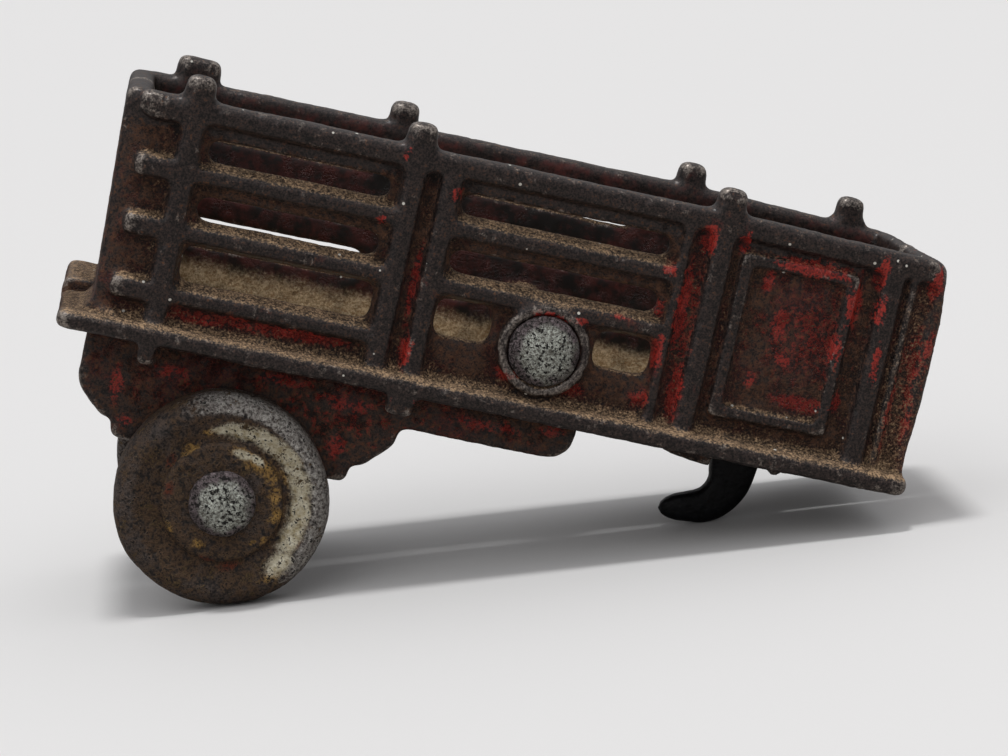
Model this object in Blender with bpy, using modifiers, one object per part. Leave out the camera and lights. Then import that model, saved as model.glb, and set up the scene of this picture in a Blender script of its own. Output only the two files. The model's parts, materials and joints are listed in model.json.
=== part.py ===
"""Cast iron toy stake semi-trailer, standing nose down as it was left without its tractor.

Two cast body halves meet on a lengthwise seam and are held by one long rivet.
A long axle with peened heads runs through a bracket under each half and carries two wheels.
A coupling hook is clamped between the halves under the front of the bed.

The trailer is drawn level: +X is its front, +Z up, the seam is the plane Y = 0, X = 0 is the
sill's rear end and Z = 0 the sill's underside. One empty then tips it nose down, until the
two wheels and the hook touch the ground, which is where it rests in the world.
"""

import math

import bmesh
import bpy
import numpy as np
from mathutils import Matrix, Vector

MM = 0.001

# The sill, which is the edge of the floor plate and stands out past the walls
SILL_LENGTH = 90.3 * MM
SILL_HALF_WIDTH = 16.0 * MM
SILL_HEIGHT = 2.1 * MM
SILL_ROUNDING = 0.75 * MM
SILL_CORNER = 1.2 * MM
REAR_LIP_RAISE = 1.2 * MM

# The walls
WALL_HEIGHT = 23.4 * MM
WALL_THICKNESS = 1.6 * MM
WALL_SETBACK = 2.7 * MM
REAR_LEDGE = 3.3 * MM
REAR_WALL_THICKNESS = 2.8 * MM
REAR_WALL_LEAN = 0.8 * MM
REAR_TOP_ROUNDING = 1.0 * MM
FRONT_WALL_THICKNESS = 2.6 * MM
FRONT_BULGE = 0.35 * MM
FRONT_NECK = 0.45 * MM
FRONT_TOP_SETBACK = 0.7 * MM
FRONT_TOP_ROUNDING = 1.3 * MM
FRONT_BOW_ROUNDING = 4.0 * MM
FRONT_BEAD_WIDTH = 1.5 * MM
FRONT_BEAD_RELIEF = 0.8 * MM
FRONT_BEAD_DROP = 0.35 * MM
FRONT_DROP = 0.6 * MM
WALL_EDGE_ROUNDING = 0.25 * MM
END_WALL_ROUNDING = 0.5 * MM

# The raised stake work on each side
RELIEF = 1.3 * MM
RELIEF_ROUNDING = 0.8 * MM
POST_SHARES = (0.1085, 0.363, 0.7265)
POST_WIDTH = 2.5 * MM
CORNER_POST_SETBACK = 6.3 * MM
NUB_HEIGHT = 2.5 * MM
NUB_WIDTH = 3.2 * MM
WIDE_NUB_WIDTH = 4.9 * MM
NUB_ROUNDING = 0.9 * MM
RAIL_HEIGHT = 2.4 * MM
SLAT_HEIGHT = 2.0 * MM
SLAT_RAISES = (3.25 * MM, 9.85 * MM, 15.9 * MM)
STUB_SETBACK = 1.3 * MM
STUB_HEIGHT = 2.5 * MM
STUB_ROUNDING = 0.8 * MM
STUB_TOP_DROP = 0.35 * MM
MULLION_WIDTH = 2.4 * MM
MULLION_GAP = 1.4 * MM
WINDOW_EDGE_WIDTH = 1.4 * MM
WINDOW_EDGE_GAP = 1.8 * MM
CORNER_RIB_WIDTH = 0.9 * MM
CORNER_RIB_GAP = 0.55 * MM

# The slots between the slats
SLOT_LIFTS = (1.5 * MM, 1.5 * MM, 1.5 * MM)
SLOT_HEIGHTS = (3.8 * MM, 2.4 * MM, 2.2 * MM)
WINDOW_SLOT_HEIGHTS = (3.8 * MM, 2.4 * MM, 2.2 * MM)
SLOT_MARGIN = 0.8 * MM
LOW_SLOT_MARGIN = 0.3 * MM
SLOT_END_SHARE = 0.46
LOW_SLOT_END_SHARE = 0.26
LEFT_SLOT_LIFTS = (2.3 * MM, 1.8 * MM, 1.8 * MM)
LEFT_SLOT_HEIGHTS = (3.0 * MM, 2.4 * MM, 2.2 * MM)
LEFT_WINDOW_SLOT_HEIGHTS = (2.2 * MM, 2.9 * MM, 2.2 * MM)

# The framed panel at the front of each side
PANEL_FRAME_WIDTH = 1.3 * MM
PANEL_FRAME_RELIEF = 0.85 * MM
PANEL_GAP = 1.0 * MM
PANEL_FRONT_GAP = 2.1 * MM
PANEL_FOOT = 2.2 * MM

# The body rivet and its bosses
RIVET_SHARE = 0.5495
RIVET_RAISE = 5.4 * MM
RIVET_RADIUS = 1.6 * MM
RIVET_HEAD_RADIUS = 3.45 * MM
RIVET_HEAD_HEIGHT = 1.9 * MM
RIVET_SET_IN = 0.5 * MM
BOSS_RADIUS = 4.9 * MM
BOSS_RING_WIDTH = 1.1 * MM
BOSS_RELIEF = 1.6 * MM
BOSS_TUBE_WALL = 1.4 * MM
BOSS_ROUNDING = 0.45 * MM

# The wheels and the axle
WHEEL_RADIUS = 11.3 * MM
WHEEL_WIDTH = 5.0 * MM
WHEEL_INSET = 0.6 * MM
WHEEL_SHOULDER = 1.7 * MM
WHEEL_BACK_ROUNDING = 0.8 * MM
WHEEL_HUB_RADIUS = 6.3 * MM
WHEEL_DISH_RADIUS = 8.9 * MM
WHEEL_DISH_DEPTH = 0.7 * MM
WHEEL_DISH_FOOT = 0.4 * MM
WHEEL_EDGE_BREAK = 0.25 * MM
AXLE_PLACE = 20.3 * MM
AXLE_DROP = 14.4 * MM
AXLE_RADIUS = 1.75 * MM
AXLE_HEAD_RADIUS = 3.35 * MM
AXLE_HEAD_HEIGHT = 1.6 * MM
HEAD_RIM_SHARE = 0.22
HEAD_FOOT_SHARE = 0.94

# The chassis under each half: a spring-shaped axle bracket that runs on as a shallow rail
BRACKET_THICKNESS = 2.0 * MM
BRACKET_ROUNDING = 0.4 * MM
BRACKET_REACH = 16.9 * MM
BRACKET_LEAF_STEP = 4.3 * MM
BRACKET_SHOULDER_DROP = 9.0 * MM
BRACKET_SHOULDER_ROUNDING = 3.0 * MM
BRACKET_SHOULDER_FLAT = 1.2 * MM
BRACKET_LEAF_HEIGHT = 2.0 * MM
BRACKET_LEAF_ROUNDING = 1.1 * MM
BRACKET_CREASE_ROUNDING = 0.8 * MM
AXLE_BOSS_RADIUS = 3.6 * MM
AXLE_BOSS_RELIEF = 0.8 * MM
RAIL_DROP = 4.2 * MM
RAIL_END_SHARE = 0.615
RAIL_END_ROUNDING = 3.4 * MM

# The short stake ends that hang below the sill, and their width
LUG_DROP = 2.15 * MM
LUG_THICKNESS = 1.8 * MM
LUG_SHARES = (0.1075, 0.4)
LUG_WIDTHS = (2.0 * MM, 3.2 * MM)
LUG_ROUNDING = 0.7 * MM

# The coupling: a round pad under the floor and the hook clamped in it
PAD_SETBACK = 17.1 * MM
PAD_RADIUS = 7.8 * MM
PAD_DROP = 2.2 * MM
PAD_TAPER = 0.9 * MM
PAD_SLOT_MARGIN = 0.9 * MM
HOOK_SETBACK = 15.5 * MM
HOOK_WIDTH = 5.8 * MM
HOOK_TIP_WIDTH = 2.7 * MM
HOOK_THICKNESS = 3.0 * MM
HOOK_ROUNDING = 0.8 * MM
HOOK_SHANK_END = 3.7 * MM
HOOK_BEND_RADIUS = 4.2 * MM
HOOK_BEND_DEGREES = 76.0
HOOK_TAIL = 2.7 * MM
HOOK_HEAD_WIDTH = 8.4 * MM
HOOK_HEAD_HEIGHT = 1.6 * MM
HOOK_HEAD_TOP = 0.8 * MM
HOOK_STEM_TOP = 0.65 * MM

# Clearances between touching pieces, and how deep joined shapes run into each other
GAP = 0.3 * MM
SINK = 0.7 * MM
CUT_PAST = 1.0 * MM
CUT_FAR = 5.0 * MM

# How far each raised shape stands back from the stake posts' face
MULLION_STEP_BACK = 0.05 * MM
RAIL_STEP_BACK = 0.1 * MM
SLAT_STEP_BACK = 0.15 * MM
WINDOW_EDGE_STEP_BACK = 0.3 * MM
END_WALL_STEP_BACK = 0.1 * MM
NUB_STEP_OUT = 0.05 * MM
NUB_STEP_IN = 0.15 * MM
CORNER_RIB_STEP_BACK = 0.32 * MM

WELD_REACH = 0.001 * MM
FLAT_ANGLE = math.radians(0.05)
ARC_STEPS = 4
ROUND_STEPS = 28
BORE_STEPS = 12
WHEEL_STEPS = 36
SHARP_ANGLE = math.radians(35)
NARROW_ROUNDING_SHARE = 0.42

# Places worked out from the sizes above
SILL_TOP = SILL_HEIGHT
RAIL_TOP = SILL_TOP + WALL_HEIGHT
POST_FACE = SILL_HALF_WIDTH - WALL_SETBACK + RELIEF
POST_PLACES = tuple(SILL_LENGTH * share for share in POST_SHARES)
CORNER_POST_PLACE = SILL_LENGTH - CORNER_POST_SETBACK
WALL_OUTER = SILL_HALF_WIDTH - WALL_SETBACK
WALL_INNER = WALL_OUTER - WALL_THICKNESS
REAR_TOP = REAR_LEDGE - REAR_WALL_LEAN
REAR_INNER = REAR_LEDGE + REAR_WALL_THICKNESS
FRONT_INNER = SILL_LENGTH - FRONT_WALL_THICKNESS - FRONT_NECK / 2
FRONT_TOP = RAIL_TOP - FRONT_DROP
RIVET_PLACE = SILL_LENGTH * RIVET_SHARE
RIVET_Z = SILL_TOP + RIVET_RAISE
RIVET_SEAT = POST_FACE - RIVET_SET_IN
WHEEL_FACE = SILL_HALF_WIDTH - WHEEL_INSET
AXLE_SEAT = WHEEL_FACE + GAP
AXLE_Z = -AXLE_DROP
BRACKET_OUTER = WHEEL_FACE - WHEEL_WIDTH - GAP
BRACKET_INNER = BRACKET_OUTER - BRACKET_THICKNESS
RAIL_END = SILL_LENGTH * RAIL_END_SHARE
PAD_PLACE = SILL_LENGTH - PAD_SETBACK
HOOK_PLACE = SILL_LENGTH - HOOK_SETBACK
MULLION_PLACE = POST_PLACES[1] + POST_WIDTH / 2 + MULLION_GAP + MULLION_WIDTH / 2
WINDOW_EDGE_PLACE = POST_PLACES[2] - POST_WIDTH / 2 - WINDOW_EDGE_GAP - WINDOW_EDGE_WIDTH / 2
CORNER_RIB_PLACE = CORNER_POST_PLACE + POST_WIDTH / 2 + CORNER_RIB_GAP + CORNER_RIB_WIDTH / 2
RIGHT = -1
LEFT = 1


def clear_scene():
    """Remove every object, so the model starts from an empty scene."""
    for thing in list(bpy.data.objects):
        bpy.data.objects.remove(thing, do_unlink=True)


def new_collection(name):
    """Add a collection to the scene."""
    collection = bpy.data.collections.new(name)
    bpy.context.scene.collection.children.link(collection)
    return collection


def material(name, colour, roughness, metallic):
    """One Principled material from a linear colour, a roughness and a metallic value."""
    made = bpy.data.materials.new(name)
    made.use_nodes = True
    shader = made.node_tree.nodes["Principled BSDF"]
    shader.inputs["Base Color"].default_value = (*colour, 1.0)
    shader.inputs["Roughness"].default_value = roughness
    shader.inputs["Metallic"].default_value = metallic
    made.diffuse_color = (*colour, 1.0)
    return made


def take_out(thing):
    """Give back an object's mesh in world space, and remove the object."""
    bpy.context.view_layer.update()
    graph = bpy.context.evaluated_depsgraph_get()
    mesh = bpy.data.meshes.new_from_object(thing.evaluated_get(graph))
    mesh.transform(thing.matrix_world)
    bpy.data.objects.remove(thing, do_unlink=True)
    return mesh


def put_in(name, mesh):
    """Link a mesh to the scene as a new object."""
    thing = bpy.data.objects.new(name, mesh)
    bpy.context.scene.collection.objects.link(thing)
    return thing


def weld(mesh):
    """Join doubled points, make each flat area one face, and point the faces outward."""
    work = bmesh.new()
    work.from_mesh(mesh)
    bmesh.ops.remove_doubles(work, verts=work.verts, dist=WELD_REACH)
    bmesh.ops.dissolve_limit(work, angle_limit=FLAT_ANGLE, verts=work.verts, edges=work.edges)
    bmesh.ops.recalc_face_normals(work, faces=work.faces)
    work.to_mesh(mesh)
    work.free()
    return mesh


def bevelled(mesh, rounding, steps=2):
    """Round every sharp edge of a mesh."""
    thing = put_in("rounding", mesh)
    bevel = thing.modifiers.new("rounding", "BEVEL")
    bevel.width = rounding
    bevel.segments = steps
    bevel.limit_method = "ANGLE"
    bevel.angle_limit = SHARP_ANGLE
    return weld(take_out(thing))


def side_span(side, inner, outer):
    """Turn two distances from the seam into a low and a high Y on one side."""
    return min(side * inner, side * outer), max(side * inner, side * outer)


def box(x_span, y_span, z_span, rounding=0.0):
    """A box between pairs of coordinates, with rounded edges if asked."""
    bpy.ops.mesh.primitive_cube_add(size=1.0)
    cube = bpy.context.object
    spans = (x_span, y_span, z_span)
    cube.scale = [high - low for low, high in spans]
    cube.location = [(high + low) / 2 for low, high in spans]
    mesh = take_out(cube)
    return bevelled(mesh, rounding) if rounding > 0 else mesh


def rounded_outline(corners):
    """Points of an outline whose corners (x, z, radius) are turned by arcs of ARC_STEPS."""
    points = []
    for index, (x, z, radius) in enumerate(corners):
        corner = Vector((x, z))
        before = Vector(corners[index - 1][:2]) - corner
        after = Vector(corners[(index + 1) % len(corners)][:2]) - corner
        if radius <= 0:
            points.append(corner)
            continue
        half = before.angle(after) / 2
        reach = min(radius / math.tan(half), before.length / 2, after.length / 2)
        true_radius = reach * math.tan(half)
        middle = corner + (before.normalized() + after.normalized()).normalized() * (
            true_radius / math.sin(half))
        start = corner + before.normalized() * reach - middle
        end = corner + after.normalized() * reach - middle
        sweep = start.angle_signed(end)
        for step in range(ARC_STEPS + 1):
            turned = start.copy()
            turned.rotate(Matrix.Rotation(-sweep * step / ARC_STEPS, 2))
            points.append(middle + turned)
    return points


def slot_outline(x_span, z_span, end_share):
    """A slot's outline: a box whose corners are rounded by a share of its height."""
    low_x, high_x = x_span
    low_z, high_z = z_span
    radius = (high_z - low_z) * end_share
    return rounded_outline([(low_x, low_z, radius), (high_x, low_z, radius),
                            (high_x, high_z, radius), (low_x, high_z, radius)])


def plate(outlines, y_span):
    """A flat plate in the XZ plane from its outer outline and its holes."""
    curve = bpy.data.curves.new("outline", "CURVE")
    curve.dimensions = "2D"
    curve.fill_mode = "BOTH"
    for outline in outlines:
        spline = curve.splines.new("POLY")
        spline.points.add(len(outline) - 1)
        for point, place in zip(spline.points, outline):
            point.co = (place[0], place[1], 0.0, 1.0)
        spline.use_cyclic_u = True
    curve.extrude = (y_span[1] - y_span[0]) / 2
    thing = put_in("plate", curve)
    thing.matrix_world = (Matrix.Translation((0, (y_span[0] + y_span[1]) / 2, 0))
                          @ Matrix.Rotation(math.pi / 2, 4, "X"))
    return weld(take_out(thing))


def cylinder(centre_x, centre_z, radius, y_span, top_radius=None, steps=ROUND_STEPS):
    """A cylinder or cone lying across the trailer, along Y."""
    work = bmesh.new()
    far_radius = radius if top_radius is None else top_radius
    bmesh.ops.create_cone(work, cap_ends=True, segments=steps, radius1=radius,
                          radius2=far_radius, depth=y_span[1] - y_span[0])
    work.transform(Matrix.Translation((centre_x, (y_span[0] + y_span[1]) / 2, centre_z))
                   @ Matrix.Rotation(-math.pi / 2, 4, "X"))
    mesh = bpy.data.meshes.new("cylinder")
    work.to_mesh(mesh)
    work.free()
    return mesh


def turned(profile, steps):
    """A shape turned about Y from (radius, y) points that run down its outer side."""
    mesh = bpy.data.meshes.new("profile")
    points = [(radius, 0.0, y) for radius, y in profile]
    edges = [(index, index + 1) for index in range(len(points) - 1)]
    mesh.from_pydata(points, edges, [])
    thing = put_in("turned", mesh)
    screw = thing.modifiers.new("turn", "SCREW")
    screw.steps = steps
    screw.render_steps = steps
    screw.use_merge_vertices = True
    screw.merge_threshold = WELD_REACH
    thing.matrix_world = Matrix.Rotation(-math.pi / 2, 4, "X")
    return weld(take_out(thing))


def combine(base, others, operation):
    """Join others to a base mesh, or cut them from it, one at a time."""
    for other in others:
        body = put_in("base", base)
        tool = put_in("tool", other)
        boolean = body.modifiers.new("combine", "BOOLEAN")
        boolean.operation = operation
        boolean.solver = "EXACT"
        boolean.object = tool
        base = take_out(body)
        bpy.data.objects.remove(tool, do_unlink=True)
    return base


def finish(name, mesh, collection, surface):
    """Put a finished piece in the object's collection, shaded smooth between sharp edges."""
    mesh.name = name
    mesh.materials.clear()
    mesh.materials.append(surface)
    mesh.shade_smooth()
    mesh.set_sharp_from_angle(angle=SHARP_ANGLE)
    thing = bpy.data.objects.new(name, mesh)
    collection.objects.link(thing)
    return thing


def slot_sections(margin):
    """The X spans between which a row of slots runs: behind, and beside the rivet."""
    behind = (POST_PLACES[0] + POST_WIDTH / 2 + margin,
              POST_PLACES[1] - POST_WIDTH / 2 - margin)
    window = (MULLION_PLACE + MULLION_WIDTH / 2 + margin / 2,
              WINDOW_EDGE_PLACE - WINDOW_EDGE_WIDTH / 2 - margin)
    beside = ((window[0], RIVET_PLACE - BOSS_RADIUS - SLOT_MARGIN),
              (RIVET_PLACE + BOSS_RADIUS + SLOT_MARGIN / 2, window[1]))
    return behind, window, beside


def slots(side):
    """Outlines of all the slots in one side wall; the two castings' slots differ a little."""
    if side == LEFT:
        sizes = zip(LEFT_SLOT_LIFTS, LEFT_SLOT_HEIGHTS, LEFT_WINDOW_SLOT_HEIGHTS)
    else:
        sizes = zip(SLOT_LIFTS, SLOT_HEIGHTS, WINDOW_SLOT_HEIGHTS)
    outlines = []
    for row, (lift, height, window_height) in enumerate(sizes):
        low = SILL_TOP + SLAT_RAISES[row] + lift
        lowest = row == 0
        behind, window, beside = slot_sections(LOW_SLOT_MARGIN if lowest else SLOT_MARGIN)
        share = LOW_SLOT_END_SHARE if lowest else SLOT_END_SHARE
        outlines.append(slot_outline(behind, (low, low + height), share))
        for span in (beside if lowest else [window]):
            outlines.append(slot_outline(span, (low, low + window_height), share))
    return outlines


def side_wall(side):
    """The side wall: one plate with its slots left open."""
    outer = [(REAR_LEDGE + GAP, SILL_TOP - SINK, 0.0),
             (FRONT_INNER + SINK, SILL_TOP - SINK, 0.0),
             (FRONT_INNER + SINK, FRONT_TOP - RAIL_HEIGHT / 2, 0.0),
             (POST_PLACES[2], RAIL_TOP - RAIL_HEIGHT / 2, 0.0),
             (REAR_LEDGE + GAP, RAIL_TOP - RAIL_HEIGHT / 2, 0.0)]
    wall = plate([rounded_outline(outer)], side_span(side, WALL_INNER, WALL_OUTER))
    cutters = [plate([slot], side_span(side, WALL_INNER - CUT_PAST, WALL_OUTER + CUT_PAST))
               for slot in slots(side)]
    return bevelled(combine(wall, cutters, "DIFFERENCE"), WALL_EDGE_ROUNDING, 1)


def top_rail(side):
    """The round-edged rail along the top of a side, which dips towards the front."""
    front = FRONT_INNER + FRONT_WALL_THICKNESS / 2
    corners = [(REAR_TOP + REAR_WALL_THICKNESS / 2, RAIL_TOP - RAIL_HEIGHT, 0.0),
               (POST_PLACES[2], RAIL_TOP - RAIL_HEIGHT, 0.0),
               (front, FRONT_TOP - RAIL_HEIGHT, 0.0),
               (front, FRONT_TOP, 0.0),
               (POST_PLACES[2], RAIL_TOP, 0.0),
               (REAR_TOP + REAR_WALL_THICKNESS / 2, RAIL_TOP, 0.0)]
    rail = plate([rounded_outline(corners)],
                 side_span(side, WALL_INNER - RAIL_STEP_BACK, POST_FACE - RAIL_STEP_BACK))
    return bevelled(rail, RELIEF_ROUNDING)


def upright(side, place, width, top, face=POST_FACE):
    """One raised upright of the stake work, from the sill to a given height."""
    return box((place - width / 2, place + width / 2),
               side_span(side, WALL_OUTER - SINK, face),
               (SILL_TOP - SINK, top),
               min(RELIEF_ROUNDING, width * NARROW_ROUNDING_SHARE))


def nub(side, place, width):
    """The rounded top of a stake, standing above the rail."""
    return box((place - width / 2, place + width / 2),
               side_span(side, WALL_INNER + NUB_STEP_IN, POST_FACE + NUB_STEP_OUT),
               (RAIL_TOP - RAIL_HEIGHT - SINK, RAIL_TOP + NUB_HEIGHT), NUB_ROUNDING)


def slat(side, x_span, raise_by):
    """One raised slat along a side."""
    middle = SILL_TOP + raise_by
    return box(x_span, side_span(side, WALL_OUTER - SINK, POST_FACE - SLAT_STEP_BACK),
               (middle - SLAT_HEIGHT / 2, middle + SLAT_HEIGHT / 2), RELIEF_ROUNDING)


def stub(side, raise_by):
    """A slat's short, knob-like end behind the rear stake."""
    middle = SILL_TOP + raise_by
    return box((REAR_LEDGE + STUB_SETBACK, POST_PLACES[0]),
               side_span(side, WALL_OUTER - SINK, POST_FACE + NUB_STEP_OUT),
               (middle - STUB_HEIGHT / 2, middle + STUB_HEIGHT / 2), STUB_ROUNDING)


def stake_work(side):
    """Posts, slats, stubs and window uprights of one side."""
    shapes = [upright(side, place, POST_WIDTH, RAIL_TOP - RELIEF_ROUNDING / 2)
              for place in POST_PLACES]
    shapes.append(upright(side, MULLION_PLACE, MULLION_WIDTH,
                          RAIL_TOP - RAIL_HEIGHT / 3, POST_FACE - MULLION_STEP_BACK))
    shapes.append(upright(side, WINDOW_EDGE_PLACE, WINDOW_EDGE_WIDTH,
                          RAIL_TOP - RAIL_HEIGHT / 2, POST_FACE - WINDOW_EDGE_STEP_BACK))
    shapes.append(upright(side, CORNER_POST_PLACE, POST_WIDTH,
                          FRONT_TOP - RELIEF_ROUNDING / 2))
    shapes.append(upright(side, CORNER_RIB_PLACE, CORNER_RIB_WIDTH,
                          FRONT_TOP - RAIL_HEIGHT / 2, POST_FACE - CORNER_RIB_STEP_BACK))
    for row, raise_by in enumerate(SLAT_RAISES):
        shapes.append(slat(side, (POST_PLACES[0], POST_PLACES[1]), raise_by))
        if row > 0:
            shapes.append(slat(side, (MULLION_PLACE, WINDOW_EDGE_PLACE), raise_by))
    stub_raises = (*SLAT_RAISES, WALL_HEIGHT - RAIL_HEIGHT / 2 - STUB_TOP_DROP)
    return shapes + [stub(side, raise_by) for raise_by in stub_raises]


def nubs(side):
    """The stake tops: three on the right half, and four on the left, whose rear one is wide."""
    widths = [NUB_WIDTH] * len(POST_PLACES)
    places = list(POST_PLACES)
    if side == LEFT:
        widths[0] = WIDE_NUB_WIDTH
        places.append(CORNER_POST_PLACE)
        widths.append(NUB_WIDTH)
    return [nub(side, place, width) for place, width in zip(places, widths)]


def panel_frame(side):
    """The raised frame round the bare panel between the last stake and the corner post."""
    low_x = POST_PLACES[2] + POST_WIDTH / 2 + PANEL_GAP
    high_x = CORNER_POST_PLACE - POST_WIDTH / 2 - PANEL_FRONT_GAP
    low_z = SILL_TOP + PANEL_FOOT
    high_z = RAIL_TOP - RAIL_HEIGHT - RELIEF
    band = PANEL_FRAME_WIDTH
    outer = rounded_outline([(low_x, low_z, band / 2), (high_x, low_z, band / 2),
                             (high_x, high_z, band / 2), (low_x, high_z, band / 2)])
    inner = rounded_outline([(low_x + band, low_z + band, band / 3),
                             (high_x - band, low_z + band, band / 3),
                             (high_x - band, high_z - band, band / 3),
                             (low_x + band, high_z - band, band / 3)])
    ring = plate([outer, inner], side_span(side, WALL_OUTER - SINK,
                                           WALL_OUTER + PANEL_FRAME_RELIEF))
    return bevelled(ring, PANEL_FRAME_RELIEF / 2, 1)


def end_wall(corners, side):
    """An end wall from its lengthwise section, drawn past the seam for the seam cut."""
    wall = plate([rounded_outline(corners)],
                 side_span(side, -CUT_PAST, WALL_OUTER - END_WALL_STEP_BACK))
    return bevelled(wall, END_WALL_ROUNDING)


def rear_wall(side):
    """The rear wall leans back a little, is rounded on top and flares into the floor."""
    flare = SILL_HEIGHT / 2
    corners = [(REAR_LEDGE - flare, SILL_TOP - GAP, 0.0),
               (REAR_INNER + flare, SILL_TOP - GAP, 0.0),
               (REAR_INNER, SILL_TOP + flare, flare),
               (REAR_TOP + REAR_WALL_THICKNESS, RAIL_TOP, REAR_TOP_ROUNDING),
               (REAR_TOP, RAIL_TOP, REAR_TOP_ROUNDING),
               (REAR_LEDGE, SILL_TOP + flare, flare)]
    return end_wall(corners, side)


def front_outline(inner, top):
    """The front wall's lengthwise section from an inner face out to its bowed face."""
    neck = SILL_LENGTH - FRONT_NECK
    bow = neck + FRONT_BULGE
    return [(inner, SILL_TOP - SINK, 0.0),
            (neck, SILL_TOP - SINK, 0.0),
            (neck, SILL_TOP + SILL_HEIGHT, SILL_HEIGHT),
            (bow, SILL_TOP + WALL_HEIGHT / 3, FRONT_BOW_ROUNDING),
            (bow, top - WALL_HEIGHT / 4, FRONT_BOW_ROUNDING),
            (SILL_LENGTH - FRONT_TOP_SETBACK, top, FRONT_TOP_ROUNDING),
            (inner, top, FRONT_TOP_ROUNDING / 2)]


def front_wall(side):
    """The front wall bows out over a neck just above the sill, and is rounded on top."""
    return end_wall(front_outline(FRONT_INNER, FRONT_TOP), side)


def front_bead(side):
    """The raised bead down a side's front edge, which follows the front wall's bow."""
    outline = front_outline(SILL_LENGTH - FRONT_NECK - FRONT_BEAD_WIDTH,
                            FRONT_TOP - FRONT_BEAD_DROP)
    bead = plate([rounded_outline(outline)],
                 side_span(side, WALL_OUTER - SINK, WALL_OUTER + FRONT_BEAD_RELIEF))
    return bevelled(bead, FRONT_BEAD_RELIEF * NARROW_ROUNDING_SHARE * 2, 1)


def rear_lip(side):
    """The thicker end that the left half's sill has behind the rear wall."""
    return box((0.0, REAR_LEDGE + REAR_WALL_THICKNESS / 2),
               side_span(side, -CUT_PAST, SILL_HALF_WIDTH - END_WALL_STEP_BACK),
               (SILL_HEIGHT / 3, SILL_TOP + REAR_LIP_RAISE), SILL_ROUNDING)


def floor_slab(side):
    """The floor and sill: a plate with a rounded edge and corners rounded in plan."""
    slab = box((0.0, SILL_LENGTH), side_span(side, -CUT_PAST, SILL_HALF_WIDTH),
               (0.0, SILL_HEIGHT))
    work = bmesh.new()
    work.from_mesh(slab)
    outer = [edge for edge in work.edges
             if all(abs(v.co.y) > SILL_HALF_WIDTH / 2 for v in edge.verts)
             and abs(edge.verts[0].co.z - edge.verts[1].co.z) > SILL_HEIGHT / 2]
    bmesh.ops.bevel(work, geom=outer, offset=SILL_CORNER, segments=3, profile=0.5,
                    affect="EDGES")
    work.to_mesh(slab)
    work.free()
    return bevelled(slab, SILL_ROUNDING)


def bracket(side):
    """The spring-shaped axle bracket, with one leaf step each way, and its shallow rail."""
    middle = AXLE_PLACE
    leaf = BRACKET_REACH - BRACKET_LEAF_STEP
    shoulder = -BRACKET_SHOULDER_DROP
    leaf_foot = shoulder - BRACKET_LEAF_HEIGHT
    top = SILL_HEIGHT / 2
    bend = BRACKET_SHOULDER_ROUNDING
    rear = [(-BRACKET_REACH, top, 0.0), (-BRACKET_REACH, shoulder + bend, bend),
            (-leaf - BRACKET_SHOULDER_FLAT, shoulder, bend),
            (-leaf, shoulder, BRACKET_CREASE_ROUNDING),
            (-leaf, leaf_foot, BRACKET_LEAF_ROUNDING)]
    fore = [(-x, z, radius) for x, z, radius in reversed(rear[1:])]
    corners = [(middle + x, z, radius) for x, z, radius in rear + fore]
    corners += [(middle + BRACKET_REACH, -RAIL_DROP, BRACKET_CREASE_ROUNDING),
                (RAIL_END, -RAIL_DROP, RAIL_END_ROUNDING), (RAIL_END, top, 0.0)]
    made = plate([rounded_outline(corners)], side_span(side, BRACKET_INNER, BRACKET_OUTER))
    boss = cylinder(AXLE_PLACE, AXLE_Z, AXLE_BOSS_RADIUS,
                    side_span(side, BRACKET_INNER - AXLE_BOSS_RELIEF,
                              BRACKET_OUTER - END_WALL_STEP_BACK))
    return [bevelled(made, BRACKET_ROUNDING), bevelled(boss, BRACKET_ROUNDING)]


def lugs(side):
    """The stake ends below the sill."""
    outer = SILL_HALF_WIDTH - GAP
    return [box((SILL_LENGTH * share - width / 2, SILL_LENGTH * share + width / 2),
                side_span(side, outer - LUG_THICKNESS, outer),
                (-LUG_DROP, SILL_HEIGHT / 2), LUG_ROUNDING)
            for share, width in zip(LUG_SHARES, LUG_WIDTHS)]


def coupling_pad():
    """The round pad under the floor that the tractor's plate would bear on."""
    work = bmesh.new()
    depth = PAD_DROP + SILL_HEIGHT / 2
    bmesh.ops.create_cone(work, cap_ends=True, segments=ROUND_STEPS,
                          radius1=PAD_RADIUS - PAD_TAPER, radius2=PAD_RADIUS, depth=depth)
    work.transform(Matrix.Translation((PAD_PLACE, 0, depth / 2 - PAD_DROP)))
    mesh = bpy.data.meshes.new("pad")
    work.to_mesh(mesh)
    work.free()
    return mesh


def pad_slot():
    """The slot across the pad that leaves room for the hook's shank."""
    return box((HOOK_PLACE - HOOK_WIDTH / 2 - PAD_SLOT_MARGIN,
                HOOK_PLACE + HOOK_WIDTH / 2 + GAP),
               (-PAD_RADIUS, PAD_RADIUS), (-PAD_DROP - CUT_PAST, -GAP))


def rivet_boss(side):
    """The cupped boss round the rivet head, and the tube that carries the rivet inside."""
    ring = cylinder(RIVET_PLACE, RIVET_Z, BOSS_RADIUS,
                    side_span(side, WALL_OUTER - SINK, WALL_OUTER + BOSS_RELIEF))
    tube = cylinder(RIVET_PLACE, RIVET_Z, RIVET_RADIUS + GAP + BOSS_TUBE_WALL,
                    side_span(side, -CUT_PAST, WALL_INNER + SINK), steps=BORE_STEPS)
    return [bevelled(ring, BOSS_ROUNDING), tube]


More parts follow.
